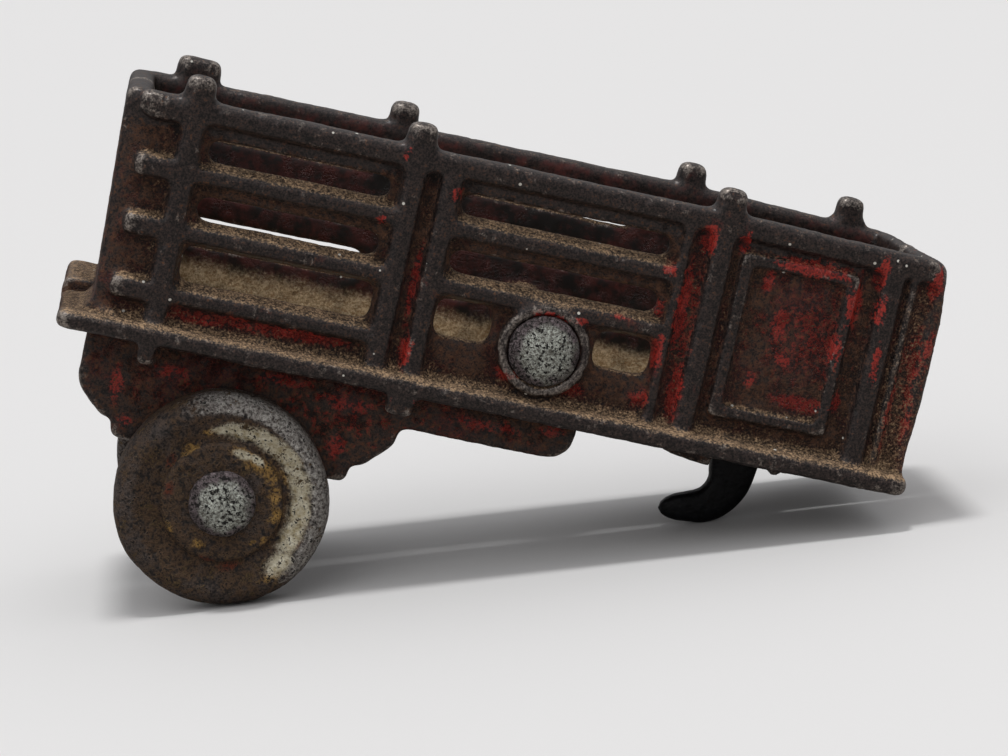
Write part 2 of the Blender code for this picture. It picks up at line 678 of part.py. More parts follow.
def hook_outline():
    """The hook's outline: a centreline of shank, bend and tail, with a width that tapers."""
    bend_x = HOOK_PLACE - HOOK_BEND_RADIUS
    last_turn = math.radians(HOOK_BEND_DEGREES)
    turns = np.linspace(0.0, last_turn, 9)
    arc_x = bend_x + HOOK_BEND_RADIUS * np.cos(turns)
    arc_z = -HOOK_SHANK_END - HOOK_BEND_RADIUS * np.sin(turns)
    tail_x = arc_x[-1] - HOOK_TAIL * math.sin(last_turn)
    tail_z = arc_z[-1] - HOOK_TAIL * math.cos(last_turn)
    centre_x = np.concatenate([[HOOK_PLACE], arc_x, [tail_x]])
    centre_z = np.concatenate([[-PAD_DROP + SINK], arc_z, [tail_z]])
    step = np.hypot(np.diff(centre_x), np.diff(centre_z))
    run = np.concatenate([[0.0], np.cumsum(step)])
    width = HOOK_WIDTH + (HOOK_TIP_WIDTH - HOOK_WIDTH) * run / run[-1]
    heading = np.concatenate([[0.0], turns, [last_turn]])
    across_x = np.cos(heading) * width / 2
    across_z = np.sin(heading) * width / 2
    outer = np.stack([centre_x + across_x, centre_z - across_z], axis=1)
    inner = np.stack([centre_x - across_x, centre_z + across_z], axis=1)
    tip_turns = last_turn + np.linspace(0.0, math.pi, 7)[1:-1]
    tip = np.stack([tail_x + np.cos(tip_turns) * width[-1] / 2,
                    tail_z - np.sin(tip_turns) * width[-1] / 2], axis=1)
    return np.concatenate([outer, tip, inner[::-1]])


def hook_root(clearance):
    """The T-shaped root that the two halves clamp, grown by a clearance for its pocket."""
    half_shank = HOOK_WIDTH / 2 + clearance
    half_head = HOOK_HEAD_WIDTH / 2 + clearance
    head_low = HOOK_HEAD_TOP - HOOK_HEAD_HEIGHT - clearance
    head_high = HOOK_HEAD_TOP + clearance
    half_thickness = HOOK_THICKNESS / 2 + clearance
    low = -PAD_DROP - (CUT_PAST if clearance > 0 else 0.0)
    y_span = (-half_thickness, half_thickness)
    stem = box((HOOK_PLACE - half_shank, HOOK_PLACE + half_shank), y_span,
               (low, HOOK_STEM_TOP))
    head = box((HOOK_PLACE - half_head, HOOK_PLACE + half_head), y_span,
               (head_low, head_high))
    return combine(head, [stem], "UNION")


def seam_cutter(side):
    """The block that trims a half back to the seam, less half the seam's gap."""
    far = SILL_HALF_WIDTH
    return box((-CUT_FAR, SILL_LENGTH + CUT_FAR), side_span(side, -far, GAP / 2),
               (-AXLE_DROP * 2, RAIL_TOP + NUB_HEIGHT + CUT_FAR))


def body_half(side, name, collection, surface):
    """One cast half: floor, walls, stake work, boss, bracket, pad and lugs in one casting."""
    shapes = [side_wall(side), top_rail(side), rear_wall(side), front_wall(side),
              front_bead(side), *stake_work(side), *nubs(side), panel_frame(side),
              *rivet_boss(side), *bracket(side), *lugs(side), coupling_pad()]
    if side == LEFT:
        shapes.append(rear_lip(side))
    casting = combine(floor_slab(side), shapes, "UNION")
    cup = cylinder(RIVET_PLACE, RIVET_Z, BOSS_RADIUS - BOSS_RING_WIDTH,
                   side_span(side, RIVET_SEAT - GAP, WALL_OUTER + BOSS_RELIEF + CUT_PAST))
    rivet_bore = cylinder(RIVET_PLACE, RIVET_Z, RIVET_RADIUS + GAP,
                          side_span(side, -CUT_PAST * 2, WALL_OUTER + CUT_PAST),
                          steps=BORE_STEPS)
    axle_bore = cylinder(AXLE_PLACE, AXLE_Z, AXLE_RADIUS + GAP,
                         side_span(side, BRACKET_INNER - AXLE_BOSS_RELIEF - CUT_PAST,
                                   BRACKET_OUTER + CUT_PAST), steps=BORE_STEPS)
    cuts = [cup, rivet_bore, axle_bore, pad_slot(), hook_root(GAP), seam_cutter(side)]
    return finish(name, combine(casting, cuts, "DIFFERENCE"), collection, surface)


def dome(head_radius, height, seat, steps=4):
    """Points of a peened head, from its crown down to its seat, as a flattened dome."""
    turns = np.linspace(0.0, math.pi / 2, steps + 1)
    crown = 1.0 - HEAD_RIM_SHARE
    points = [(head_radius * math.sin(turn),
               seat + height * (HEAD_RIM_SHARE + crown * math.cos(turn))) for turn in turns]
    return points + [(head_radius * HEAD_FOOT_SHARE, seat)]


def headed_pin(radius, head_radius, height, seat):
    """A long pin with a peened head at each end, centred on the seam."""
    upper = dome(head_radius, height, seat)
    lower = [(r, -y) for r, y in reversed(upper)]
    return turned([*upper, (radius, seat), (radius, -seat), *lower], ROUND_STEPS)


def wheel_profile():
    """The wheel's section, outer side out: hub, dished ring, rounded tyre and flat back."""
    face = WHEEL_WIDTH / 2
    bore = AXLE_RADIUS + GAP
    shoulder = np.linspace(0.0, math.pi / 2, 4)
    crown = WHEEL_RADIUS - WHEEL_SHOULDER
    tyre = [(crown + WHEEL_SHOULDER * math.sin(t), face - WHEEL_SHOULDER * (1 - math.cos(t)))
            for t in shoulder]
    back_turns = np.linspace(0.0, math.pi / 2, 3)
    back_r = WHEEL_RADIUS - WHEEL_BACK_ROUNDING
    back = [(back_r + WHEEL_BACK_ROUNDING * math.cos(t),
             -face + WHEEL_BACK_ROUNDING * (1 - math.sin(t))) for t in back_turns]
    dish = face - WHEEL_DISH_DEPTH
    return [(bore, face), (WHEEL_HUB_RADIUS - WHEEL_EDGE_BREAK, face),
            (WHEEL_HUB_RADIUS, face - WHEEL_EDGE_BREAK), (WHEEL_HUB_RADIUS, dish),
            (WHEEL_HUB_RADIUS + WHEEL_DISH_FOOT, dish),
            (WHEEL_DISH_RADIUS, face - WHEEL_EDGE_BREAK / 2),
            *tyre, *back, (bore, -face), (bore, face)]


def wheel(side, name, collection, surface):
    """One wheel, turned about the axle with its dished face outward."""
    mesh = turned(wheel_profile(), WHEEL_STEPS)
    if side == RIGHT:
        mesh.transform(Matrix.Rotation(math.pi, 4, "X"))
    made = finish(name, mesh, collection, surface)
    made.location = (AXLE_PLACE, side * (WHEEL_FACE - WHEEL_WIDTH / 2), AXLE_Z)
    return made


def coupling_hook(collection, surface):
    """The black hook: a bent, tapering tail under a T-shaped root."""
    tail = plate([[tuple(point) for point in hook_outline()]],
                 (-HOOK_THICKNESS / 2, HOOK_THICKNESS / 2))
    hook = combine(bevelled(tail, HOOK_ROUNDING), [hook_root(0.0)], "UNION")
    return finish("coupling_hook", hook, collection, surface)


def resting_tilt():
    """The nose-down angle at which a ground line touches both the wheels and the hook."""
    angles = []
    for x, z in hook_outline():
        run = x - AXLE_PLACE
        rise = z - AXLE_Z
        angles.append(math.atan2(rise, run) + math.asin(WHEEL_RADIUS / math.hypot(run, rise)))
    return min(angles)


def stand_on_ground(carrier, pieces):
    """Tip the carrier nose down and centre the object over its lowest level."""
    tilt = Matrix.Rotation(resting_tilt(), 4, "Y")
    corners = []
    for piece in pieces:
        points = np.empty(len(piece.data.vertices) * 3)
        piece.data.vertices.foreach_get("co", points)
        local = points.reshape(-1, 3) + np.array(piece.location)
        corners.append(local @ np.array(tilt.to_3x3()).T)
    cloud = np.concatenate(corners)
    low = cloud.min(axis=0)
    high = cloud.max(axis=0)
    lift = Matrix.Translation((-(low[0] + high[0]) / 2, 0.0, -low[2]))
    carrier.matrix_world = lift @ tilt
    for piece in pieces:
        piece.parent = carrier


def build():
    """Make every piece and stand the trailer on its wheels and hook."""
    clear_scene()
    collection = new_collection("toy_stake_trailer")
    red_iron = material("worn_red_iron", (0.075, 0.022, 0.018), 0.62, 0.25)
    wheel_iron = material("worn_wheel_iron", (0.10, 0.075, 0.055), 0.55, 0.55)
    rivet_steel = material("speckled_rivet_steel", (0.36, 0.37, 0.34), 0.38, 0.9)
    black_iron = material("black_hook_iron", (0.006, 0.006, 0.008), 0.42, 0.3)
    rivet = headed_pin(RIVET_RADIUS, RIVET_HEAD_RADIUS, RIVET_HEAD_HEIGHT, RIVET_SEAT)
    axle = headed_pin(AXLE_RADIUS, AXLE_HEAD_RADIUS, AXLE_HEAD_HEIGHT, AXLE_SEAT)
    pieces = [body_half(RIGHT, "body_half_right", collection, red_iron),
              body_half(LEFT, "body_half_left", collection, red_iron),
              finish("body_rivet", rivet, collection, rivet_steel),
              coupling_hook(collection, black_iron),
              finish("axle", axle, collection, rivet_steel),
              wheel(RIGHT, "wheel_right", collection, wheel_iron),
              wheel(LEFT, "wheel_left", collection, wheel_iron)]
    pieces[2].location = (RIVET_PLACE, 0.0, RIVET_Z)
    pieces[4].location = (AXLE_PLACE, 0.0, AXLE_Z)
    carrier = bpy.data.objects.new("resting_frame", None)
    collection.objects.link(carrier)
    stand_on_ground(carrier, pieces)


build()
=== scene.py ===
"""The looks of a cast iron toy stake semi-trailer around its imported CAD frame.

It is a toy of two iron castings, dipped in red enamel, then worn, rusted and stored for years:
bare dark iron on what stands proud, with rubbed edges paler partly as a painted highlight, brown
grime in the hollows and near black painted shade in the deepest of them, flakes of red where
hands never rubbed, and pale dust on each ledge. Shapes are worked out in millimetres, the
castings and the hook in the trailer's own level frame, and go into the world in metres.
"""

import json
import math

import bmesh
import bpy
import numpy as np
from mathutils import Matrix, Vector


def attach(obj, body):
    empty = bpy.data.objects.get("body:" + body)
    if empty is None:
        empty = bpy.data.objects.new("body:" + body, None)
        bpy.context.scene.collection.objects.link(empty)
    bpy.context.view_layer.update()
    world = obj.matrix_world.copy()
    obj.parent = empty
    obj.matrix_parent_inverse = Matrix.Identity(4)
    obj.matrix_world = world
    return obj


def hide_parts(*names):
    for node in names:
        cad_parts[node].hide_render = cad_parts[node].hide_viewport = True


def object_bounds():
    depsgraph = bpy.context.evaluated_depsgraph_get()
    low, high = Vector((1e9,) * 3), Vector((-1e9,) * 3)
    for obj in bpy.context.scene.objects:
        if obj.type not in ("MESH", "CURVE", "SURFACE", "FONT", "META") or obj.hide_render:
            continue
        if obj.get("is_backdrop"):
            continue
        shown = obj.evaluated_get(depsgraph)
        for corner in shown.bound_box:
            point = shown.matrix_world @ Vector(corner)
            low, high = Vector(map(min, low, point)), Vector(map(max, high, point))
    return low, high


bl_info = {
    "name": "Toy Stake Trailer Looks",
    "version": (1, 0, 0),
    "blender": (4, 5, 0),
    "location": "3D View > Sidebar > Toy Trailer",
    "description": "Dresses the packed toy stake trailer in its worn castings and finishes",
    "category": "Object",
}

MM = 0.001
FULL_TURN = 2.0 * math.pi

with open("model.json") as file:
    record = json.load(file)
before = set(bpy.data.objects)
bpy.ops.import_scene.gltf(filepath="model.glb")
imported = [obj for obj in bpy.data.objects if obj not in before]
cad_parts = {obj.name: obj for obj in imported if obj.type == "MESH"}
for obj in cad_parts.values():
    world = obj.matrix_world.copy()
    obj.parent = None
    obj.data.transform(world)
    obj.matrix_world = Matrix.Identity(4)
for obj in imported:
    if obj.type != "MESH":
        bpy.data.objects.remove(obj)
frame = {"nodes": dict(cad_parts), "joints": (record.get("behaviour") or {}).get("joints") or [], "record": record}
cad_low, cad_high = (np.array(corner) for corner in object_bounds())


def joint_place(name):
    """The world place of one of the frame's joints."""
    found = next(joint for joint in frame["joints"] if joint["name"] == name)
    return np.array(found["pos_m"], float)


def level_axes():
    """The trailer's own axes as columns: forward, left and up, from the bed floor's mount."""
    mounts = frame["record"]["mounts"]
    floor = next(mount for mount in mounts if mount["name"] == "bed_floor")
    up = np.array(floor["axis"], float)
    up /= np.linalg.norm(up)
    left = np.array([0.0, 1.0, 0.0])
    return np.stack([np.cross(left, up), left, up], axis=1)


# Places in the level frame, in mm: X from the sill's rear end, Y from the seam, Z from the
# sill's underside. They repeat the sizes that the CAD was drawn from.
SILL_TOP = 2.1
RAIL_TOP = 25.5
WALL_OUTER = 13.3
WALL_INNER = 11.7
POST_FACE = 14.6
RIVET_LEVEL = (49.6, 0.0, 7.5)
AXLE_LEVEL = (20.3, 0.0, -14.4)
HOOK_PLACE = 74.8
LEVEL_AXES = level_axes()
AXLE_CENTRE = joint_place("axle_spin")
LEVEL_ORIGIN = AXLE_CENTRE - LEVEL_AXES @ (np.array(AXLE_LEVEL) * MM)


def to_level(points):
    """World points in metres as level frame points in millimetres."""
    return (points - LEVEL_ORIGIN) @ LEVEL_AXES / MM


def to_world(points):
    """Level frame points in millimetres as world points in metres."""
    return points * MM @ LEVEL_AXES.T + LEVEL_ORIGIN


# ---------------------------------------------------------------- colours and nodes

def linear(code):
    """An sRGB hex colour such as "8E1F18" as linear RGBA."""
    shares = np.array([int(code[at:at + 2], 16) for at in (0, 2, 4)]) / 255.0
    bent = np.where(shares <= 0.04045, shares / 12.92, ((shares + 0.055) / 1.055) ** 2.4)
    return (*bent.tolist(), 1.0)


def add_node(tree, kind, sockets=None, **settings):
    """Add a node with its settings; each socket gets a value or another node's output."""
    node = tree.nodes.new(kind)
    for name, value in settings.items():
        setattr(node, name, value)
    for name, value in (sockets or {}).items():
        if isinstance(value, bpy.types.NodeSocket):
            tree.links.new(value, node.inputs[name])
        else:
            node.inputs[name].default_value = value
    return node


def new_material(name):
    """A material with an empty node tree and its output."""
    made = bpy.data.materials.new(name)
    made.use_nodes = True
    made.node_tree.nodes.clear()
    return made, made.node_tree, add_node(made.node_tree, "ShaderNodeOutputMaterial")


# ---------------------------------------------------------------- shapes

def lattice_noise(points, grain, seed):
    """Smooth noise from -1 to 1 at each point.

    A seeded table gives each corner of a cubic lattice, grain wide, a height. A point takes
    the eight heights round it, shared by 3t^2 - 2t^3 of its place t in the cell.
    """
    table = np.random.default_rng(seed).uniform(-1.0, 1.0, 4093)
    cell = np.floor(points / grain).astype(np.int64)
    inside = points / grain - cell
    ease = inside * inside * (3.0 - 2.0 * inside)
    height = np.zeros(len(points))
    for corner in np.ndindex(2, 2, 2):
        key = (cell + corner) @ np.array([73856093, 19349663, 83492791])
        share = np.where(corner, ease, 1.0 - ease).prod(axis=1)
        height += share * table[key % len(table)]
    return height


def rough_noise(points, grain, seed, layers=3):
    """Several lattice noises on top of each other, each half as wide and half as strong."""
    return sum(lattice_noise(points, grain / 2 ** layer, seed + layer) / 2 ** layer
               for layer in range(layers))


def pits(points, grain, seed, share):
    """Depth from 0 to 1 of pits where the noise passes a threshold; share is how much."""
    noise = rough_noise(points, grain, seed, 2)
    start = 1.1 - 1.6 * share
    return np.clip((noise - start) / 0.35, 0.0, 1.0)


def relaxed(points, edges, rounds):
    """Points moved half way to the mean of their neighbours, some rounds over."""
    first, second = edges[:, 0], edges[:, 1]
    count = np.bincount(edges.ravel(), minlength=len(points))[:, None]
    for _ in range(rounds):
        total = np.stack([np.bincount(first, points[second, axis], len(points))
                          + np.bincount(second, points[first, axis], len(points))
                          for axis in range(points.shape[1])], axis=1)
        points = 0.5 * points + 0.5 * total / count
    return points


def read_mesh(mesh):
    """A mesh's points, edges and outward normals as arrays."""
    points = np.empty(len(mesh.vertices) * 3)
    mesh.vertices.foreach_get("co", points)
    edges = np.empty(len(mesh.edges) * 2, np.int64)
    mesh.edges.foreach_get("vertices", edges)
    normals = np.empty(len(mesh.vertices) * 3)
    mesh.vertex_normals.foreach_get("vector", normals)
    return points.reshape(-1, 3), edges.reshape(-1, 2), normals.reshape(-1, 3)


def write_points(mesh, points):
    """Put an array of points into a mesh that has as many."""
    mesh.vertices.foreach_set("co", points.ravel().astype(np.float32))
    mesh.update()


def write_mark(mesh, name, values):
    """Store one number per point, which a material reads by its name."""
    mark = mesh.attributes.new(name, "FLOAT", "POINT")
    mark.data.foreach_set("value", np.asarray(values, np.float32))


def grid_mesh(name, grid, around=False, caps=True):
    """A mesh from a grid of points, rows x columns x 3, with quads between neighbours.

    Where it goes around, the last column joins the first and each end row is closed by a
    face, so the surface is a closed tube or turned body.
    """
    rows, columns = grid.shape[:2]
    index = np.arange(rows * columns).reshape(rows, columns)
    after = np.roll(index, -1, axis=1) if around else index[:, 1:]
    here = index if around else index[:, :-1]
    quads = np.stack([here[:-1], after[:-1], after[1:], here[1:]], axis=-1).reshape(-1, 4)
    faces = quads.tolist()
    if around and caps:
        faces += [index[0][::-1].tolist(), index[-1].tolist()]
    mesh = bpy.data.meshes.new(name)
    mesh.from_pydata(grid.reshape(-1, 3).tolist(), [], faces)
    return mesh


def outward(mesh):
    """Merge doubled points and turn every face outward."""
    work = bmesh.new()
    work.from_mesh(mesh)
    bmesh.ops.remove_doubles(work, verts=work.verts, dist=1e-7)
    bmesh.ops.recalc_face_normals(work, faces=work.faces)
    work.to_mesh(mesh)
    work.free()
    mesh.update()
    return mesh


def tube(path, radii, sides=12):
    """A closed round tube: circles of the given radii carried along a path of points.

    Each circle stands across the path's heading, on the level frame's up and side.
    """
    heading = np.gradient(path, axis=0)
    heading /= np.linalg.norm(heading, axis=1, keepdims=True)
    lift = np.tile([0.03, 0.02, 1.0], (len(path), 1))
    side = np.cross(heading, lift)
    side /= np.linalg.norm(side, axis=1, keepdims=True)
    rise = np.cross(side, heading)
    turns = np.linspace(0.0, FULL_TURN, sides, endpoint=False)
    ring = (np.cos(turns)[None, :, None] * side[:, None, :]
            + np.sin(turns)[None, :, None] * rise[:, None, :])
    return path[:, None, :] + ring * np.asarray(radii)[:, None, None]


def ball(centre, radii, rows=12, columns=20):
    """A closed ellipsoid: the radii times the sines and cosines of two angles."""
    tilt = np.linspace(0.02, math.pi - 0.02, rows)[:, None]
    turn = np.linspace(0.0, FULL_TURN, columns, endpoint=False)[None, :]
    unit = np.stack([np.sin(tilt) * np.cos(turn), np.sin(tilt) * np.sin(turn),
                     np.cos(tilt) * np.ones_like(turn)], axis=-1)
    return np.array(centre) + unit * np.array(radii)


def resampled(profile, step):
    """Points at an even step along a polyline, with its corners kept to within the step."""
    run = np.concatenate([[0.0], np.cumsum(np.hypot(*np.diff(profile, axis=0).T))])
    along = np.linspace(0.0, run[-1], max(2, int(run[-1] / step)))
    return np.stack([np.interp(along, run, profile[:, axis]) for axis in (0, 1)], axis=1)


def softened(profile, rounds):
    """A polyline whose inner points move half way to their neighbours' mean, some rounds."""
    profile = profile.copy()
    for _ in range(rounds):
        profile[1:-1] = 0.5 * profile[1:-1] + 0.25 * (profile[:-2] + profile[2:])
    return profile


def turned_grid(profile, centre, columns):
    """A profile of (radius, distance along Y) carried round the Y axis through a centre."""
    turns = np.linspace(0.0, FULL_TURN, columns, endpoint=False)
    radius, along = profile[:, 0][:, None], profile[:, 1][:, None]
    grid = np.stack([radius * np.cos(turns), along * np.ones_like(turns),
                     radius * np.sin(turns)], axis=-1)
    return grid + np.asarray(centre)


def evaluated(thing):
    """An object's mesh with its modifiers applied; the object itself is removed."""
    bpy.context.view_layer.update()
    graph = bpy.context.evaluated_depsgraph_get()
    mesh = bpy.data.meshes.new_from_object(thing.evaluated_get(graph))
    bpy.data.objects.remove(thing, do_unlink=True)
    return mesh


def linked(name, mesh):
    """A new object in the scene that holds a mesh, a lamp or a camera."""
    thing = bpy.data.objects.new(name, mesh)
    bpy.context.scene.collection.objects.link(thing)
    return thing


def dress(name, mesh, surface, body, slot, *nodes):
    """Finish a piece: smooth shading, its material, its body and its CAD nodes. The slot is not used."""
    mesh.name = name
    mesh.materials.clear()
    mesh.materials.append(surface)
    mesh.shade_smooth()
    thing = linked(name, mesh)
    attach(thing, body)
    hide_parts(*nodes)
    return thing


def inside_box(points):
    """World points held within the CAD model's box, by a thousandth of a millimetre."""
    return np.clip(points, cad_low + 0.001 * MM, cad_high - 0.001 * MM)


# Enamel left on the sides: X, Z, half length, half height, in level mm, and how much of it
ENAMEL_FLAKES = np.array([
    (76.0, 14.5, 8.0, 9.0, 0.5), (88.4, 13.0, 2.2, 9.0, 0.56), (63.6, 13.0, 1.5, 9.0, 0.5),
    (3.6, 11.0, 3.2, 9.0, 0.3), (86.7, 8.0, 0.8, 6.0, 0.7), (90.0, 4.0, 1.5, 3.0, 0.6),
    (75.4, 21.4, 5.2, 1.0, 1.0), (80.4, 18.6, 1.2, 3.0, 0.95), (79.6, 13.6, 1.2, 2.4, 0.85),
    (73.4, 15.0, 1.1, 2.2, 0.9), (71.3, 19.2, 0.8, 1.8, 0.85), (74.6, 11.4, 1.4, 1.2, 0.85),
    (77.2, 7.3, 3.6, 1.0, 0.85), (71.6, 8.8, 0.8, 1.4, 0.8), (81.0, 8.2, 0.8, 1.2, 0.8),
    (82.6, 22.6, 0.8, 2.0, 1.0), (83.3, 18.6, 0.7, 2.4, 0.95), (84.0, 13.0, 0.6, 3.4, 0.8),
    (88.6, 22.6, 0.9, 2.2, 1.0), (89.3, 16.0, 0.7, 2.6, 0.85), (88.9, 7.4, 0.7, 2.6, 0.8),
    (64.1, 22.3, 0.9, 1.8, 1.0), (67.8, 22.9, 0.7, 1.6, 1.0), (62.9, 14.6, 0.9, 5.4, 1.0),
    (64.0, 6.0, 0.9, 3.6, 0.95), (60.6, 18.4, 0.9, 0.9, 1.0), (60.4, 14.4, 0.8, 1.2, 0.9),
    (61.2, 9.6, 0.9, 2.4, 0.95), (60.6, 4.6, 1.4, 1.2, 0.85), (49.4, 11.1, 2.6, 0.75, 1.0),
    (52.6, 11.2, 1.2, 0.6, 0.75), (46.4, 4.3, 1.6, 0.9, 0.85), (53.4, 4.0, 1.8, 0.9, 0.75),
    (56.2, 12.6, 1.6, 0.5, 0.8), (25.0, 3.9, 5.5, 0.7, 1.0), (14.0, 3.4, 4.0, 0.6, 0.75),
    (20.0, 3.8, 12.0, 1.0, 0.6), (37.2, 21.6, 0.8, 1.4, 0.85), (35.0, 11.5, 0.5, 5.0, 0.8),
    (35.6, 4.6, 0.8, 2.0, 0.95), (31.6, 24.6, 0.5, 1.0, 0.8), (30.4, 17.4, 0.6, 0.8, 0.85),
])
CHASSIS_FLAKES = np.array([
    (30.0, -4.0, 34.0, 8.0, 0.42), (31.0, -2.6, 6.0, 1.6, 0.64), (31.0, -7.2, 1.4, 2.0, 0.75),
    (7.4, -5.4, 1.2, 2.6, 0.75), (13.0, -3.0, 3.0, 1.2, 0.66), (46.0, -2.0, 6.5, 1.1, 0.64),
    (24.0, -1.6, 4.0, 0.9, 0.7), (9.0, -9.0, 1.2, 1.2, 0.75), (53.0, -1.4, 2.2, 0.9, 0.68),
])


def flakes(points):
    """How much enamel is left, 0 to 1: the strongest bell curve of the flakes' lists."""
    chassis = (points[:, 2] < 0.0)[:, None]
    share = np.zeros(len(points))
    for table, inside in ((ENAMEL_FLAKES, ~chassis), (CHASSIS_FLAKES, chassis)):
        away = (((points[:, None, 0] - table[:, 0]) / table[:, 2]) ** 2
                + ((points[:, None, 2] - table[:, 1]) / table[:, 3]) ** 2)
        share = np.maximum(share, (table[:, 4] * np.exp(-away) * inside).max(axis=1))
    return share


def cad_copy(node):
    """A merged copy of a CAD node's mesh in the level frame, in millimetres."""
    mesh = frame["nodes"][node].data.copy()
    points = read_mesh(mesh)[0]
    write_points(mesh, to_level(points))
    work = bmesh.new()
    work.from_mesh(mesh)
    bmesh.ops.remove_doubles(work, verts=work.verts, dist=0.002)
    work.to_mesh(mesh)
    work.free()
    return mesh


# Openings that came out of the sand higher or lower, by side: X, Z, half length, half
# height and the shift up, in level mm
SLOT_SHIFTS = {-1: (), 1: ((45.0, 9.1, 60.0, 2.4, 0.33), (55.8, 19.3, 4.2, 1.3, -0.5))}
# Stake tops: X and width along the side, in mm, by side
KNOBS = {-1: ((9.8, 3.2), (32.8, 3.2), (65.6, 3.2)),
         1: ((9.8, 4.6), (32.8, 3.2), (65.6, 3.2), (84.0, 3.2))}


def corner_fills(side):
    """Closed tubes and balls laid in a half's inner corners, which soften to fillets.

    The tubes lie along the side wall's foot, outside and inside, and along the rear wall's.
    The balls sit where the stake tops meet the rail.
    """
    outer, inner = side * (WALL_OUTER + 0.1), side * (WALL_INNER - 0.1)
    rear, rear_height = 3.3, SILL_TOP + 0.1
    feet = (((4.0, outer, SILL_TOP), (88.0, outer, SILL_TOP), 0.7),
            ((6.4, inner, SILL_TOP), (87.2, inner, SILL_TOP), 0.9),
            ((rear, side * 1.0, rear_height), (rear, side * 13.0, rear_height), 0.8))
    meshes = []
    for start, end, radius in feet:
        path = np.linspace(start, end, 40)
        meshes.append(grid_mesh("fill", tube(path, np.full(40, radius)), around=True))
    for place, width in KNOBS[side]:
        foot = ball((place, side * 13.0, RAIL_TOP - 0.1), (width / 2 + 0.55, 1.3, 0.7))
        meshes.append(grid_mesh("foot", foot, around=True))
    return meshes


def soft_casting(node, side, sizes, seed):
    """One half as it came from the sand: the CAD half fused, softened and made uneven.

    Round a shifted slot a point rises by the shift times exp(-(x^4 + z^4)), with x and z as
    shares of the slot's half sizes. Then every point moves to the mean of its neighbours some
    rounds over, which rounds edges and fills corners, and along its normal by noise of three
    widths, less the pits.
    """
    work = bmesh.new()
    for mesh in (cad_copy(node), *corner_fills(side)):
        work.from_mesh(mesh)
    joined = bpy.data.meshes.new("casting")
    work.to_mesh(joined)
    work.free()
    points = read_mesh(joined)[0]
    for place, height, half_length, half_height, shift in SLOT_SHIFTS[side]:
        away = (((points[:, 0] - place) / half_length) ** 4
                + ((points[:, 2] - height) / half_height) ** 4)
        points[:, 2] += shift * np.exp(-away)
    write_points(joined, points)
    thing = linked("casting", joined)
    fused = thing.modifiers.new("fused", "REMESH")
    fused.mode = "VOXEL"
    fused.voxel_size = sizes.casting_grain / MM
    mesh = evaluated(thing)
    points, edges, _ = read_mesh(mesh)
    write_points(mesh, relaxed(points, edges, sizes.softening))
    points, edges, normals = read_mesh(mesh)
    push = (0.9 * rough_noise(points, 7.0, seed, 2) + 0.4 * rough_noise(points, 1.7, seed + 9)
            + 0.3 * rough_noise(points, 0.6, seed + 19, 2))
    push = push * sizes.unevenness / MM - pits(points, 0.8, seed + 29, 0.3) * sizes.pit_depth / MM
    write_points(mesh, points + normals * push[:, None])
    thing = linked("casting", mesh)
    thinned = thing.modifiers.new("thinned", "DECIMATE")
    thinned.ratio = min(1.0, sizes.casting_triangles / (2.0 * len(mesh.polygons)))
    thinned.use_collapse_triangulate = True
    return evaluated(thing)


# Where the castings' finish changes, in level mm, each from and to: up to the rubbed rail,
# from the sill to the slats, up from the thick dust, and along to the ends
RUBBED_HEIGHTS = (20.5, 23.0)
SLAT_HEIGHTS = (3.0, 4.5)
DUSTY_HEIGHTS = (3.4, 8.8)
BED_REAR, BED_FRONT = (5.6, 6.6), (86.5, 87.5)
REAR_END, FRONT_END = (4.2, 5.0), (88.5, 89.1)
FRONT_RIB = (85.2, 85.8)


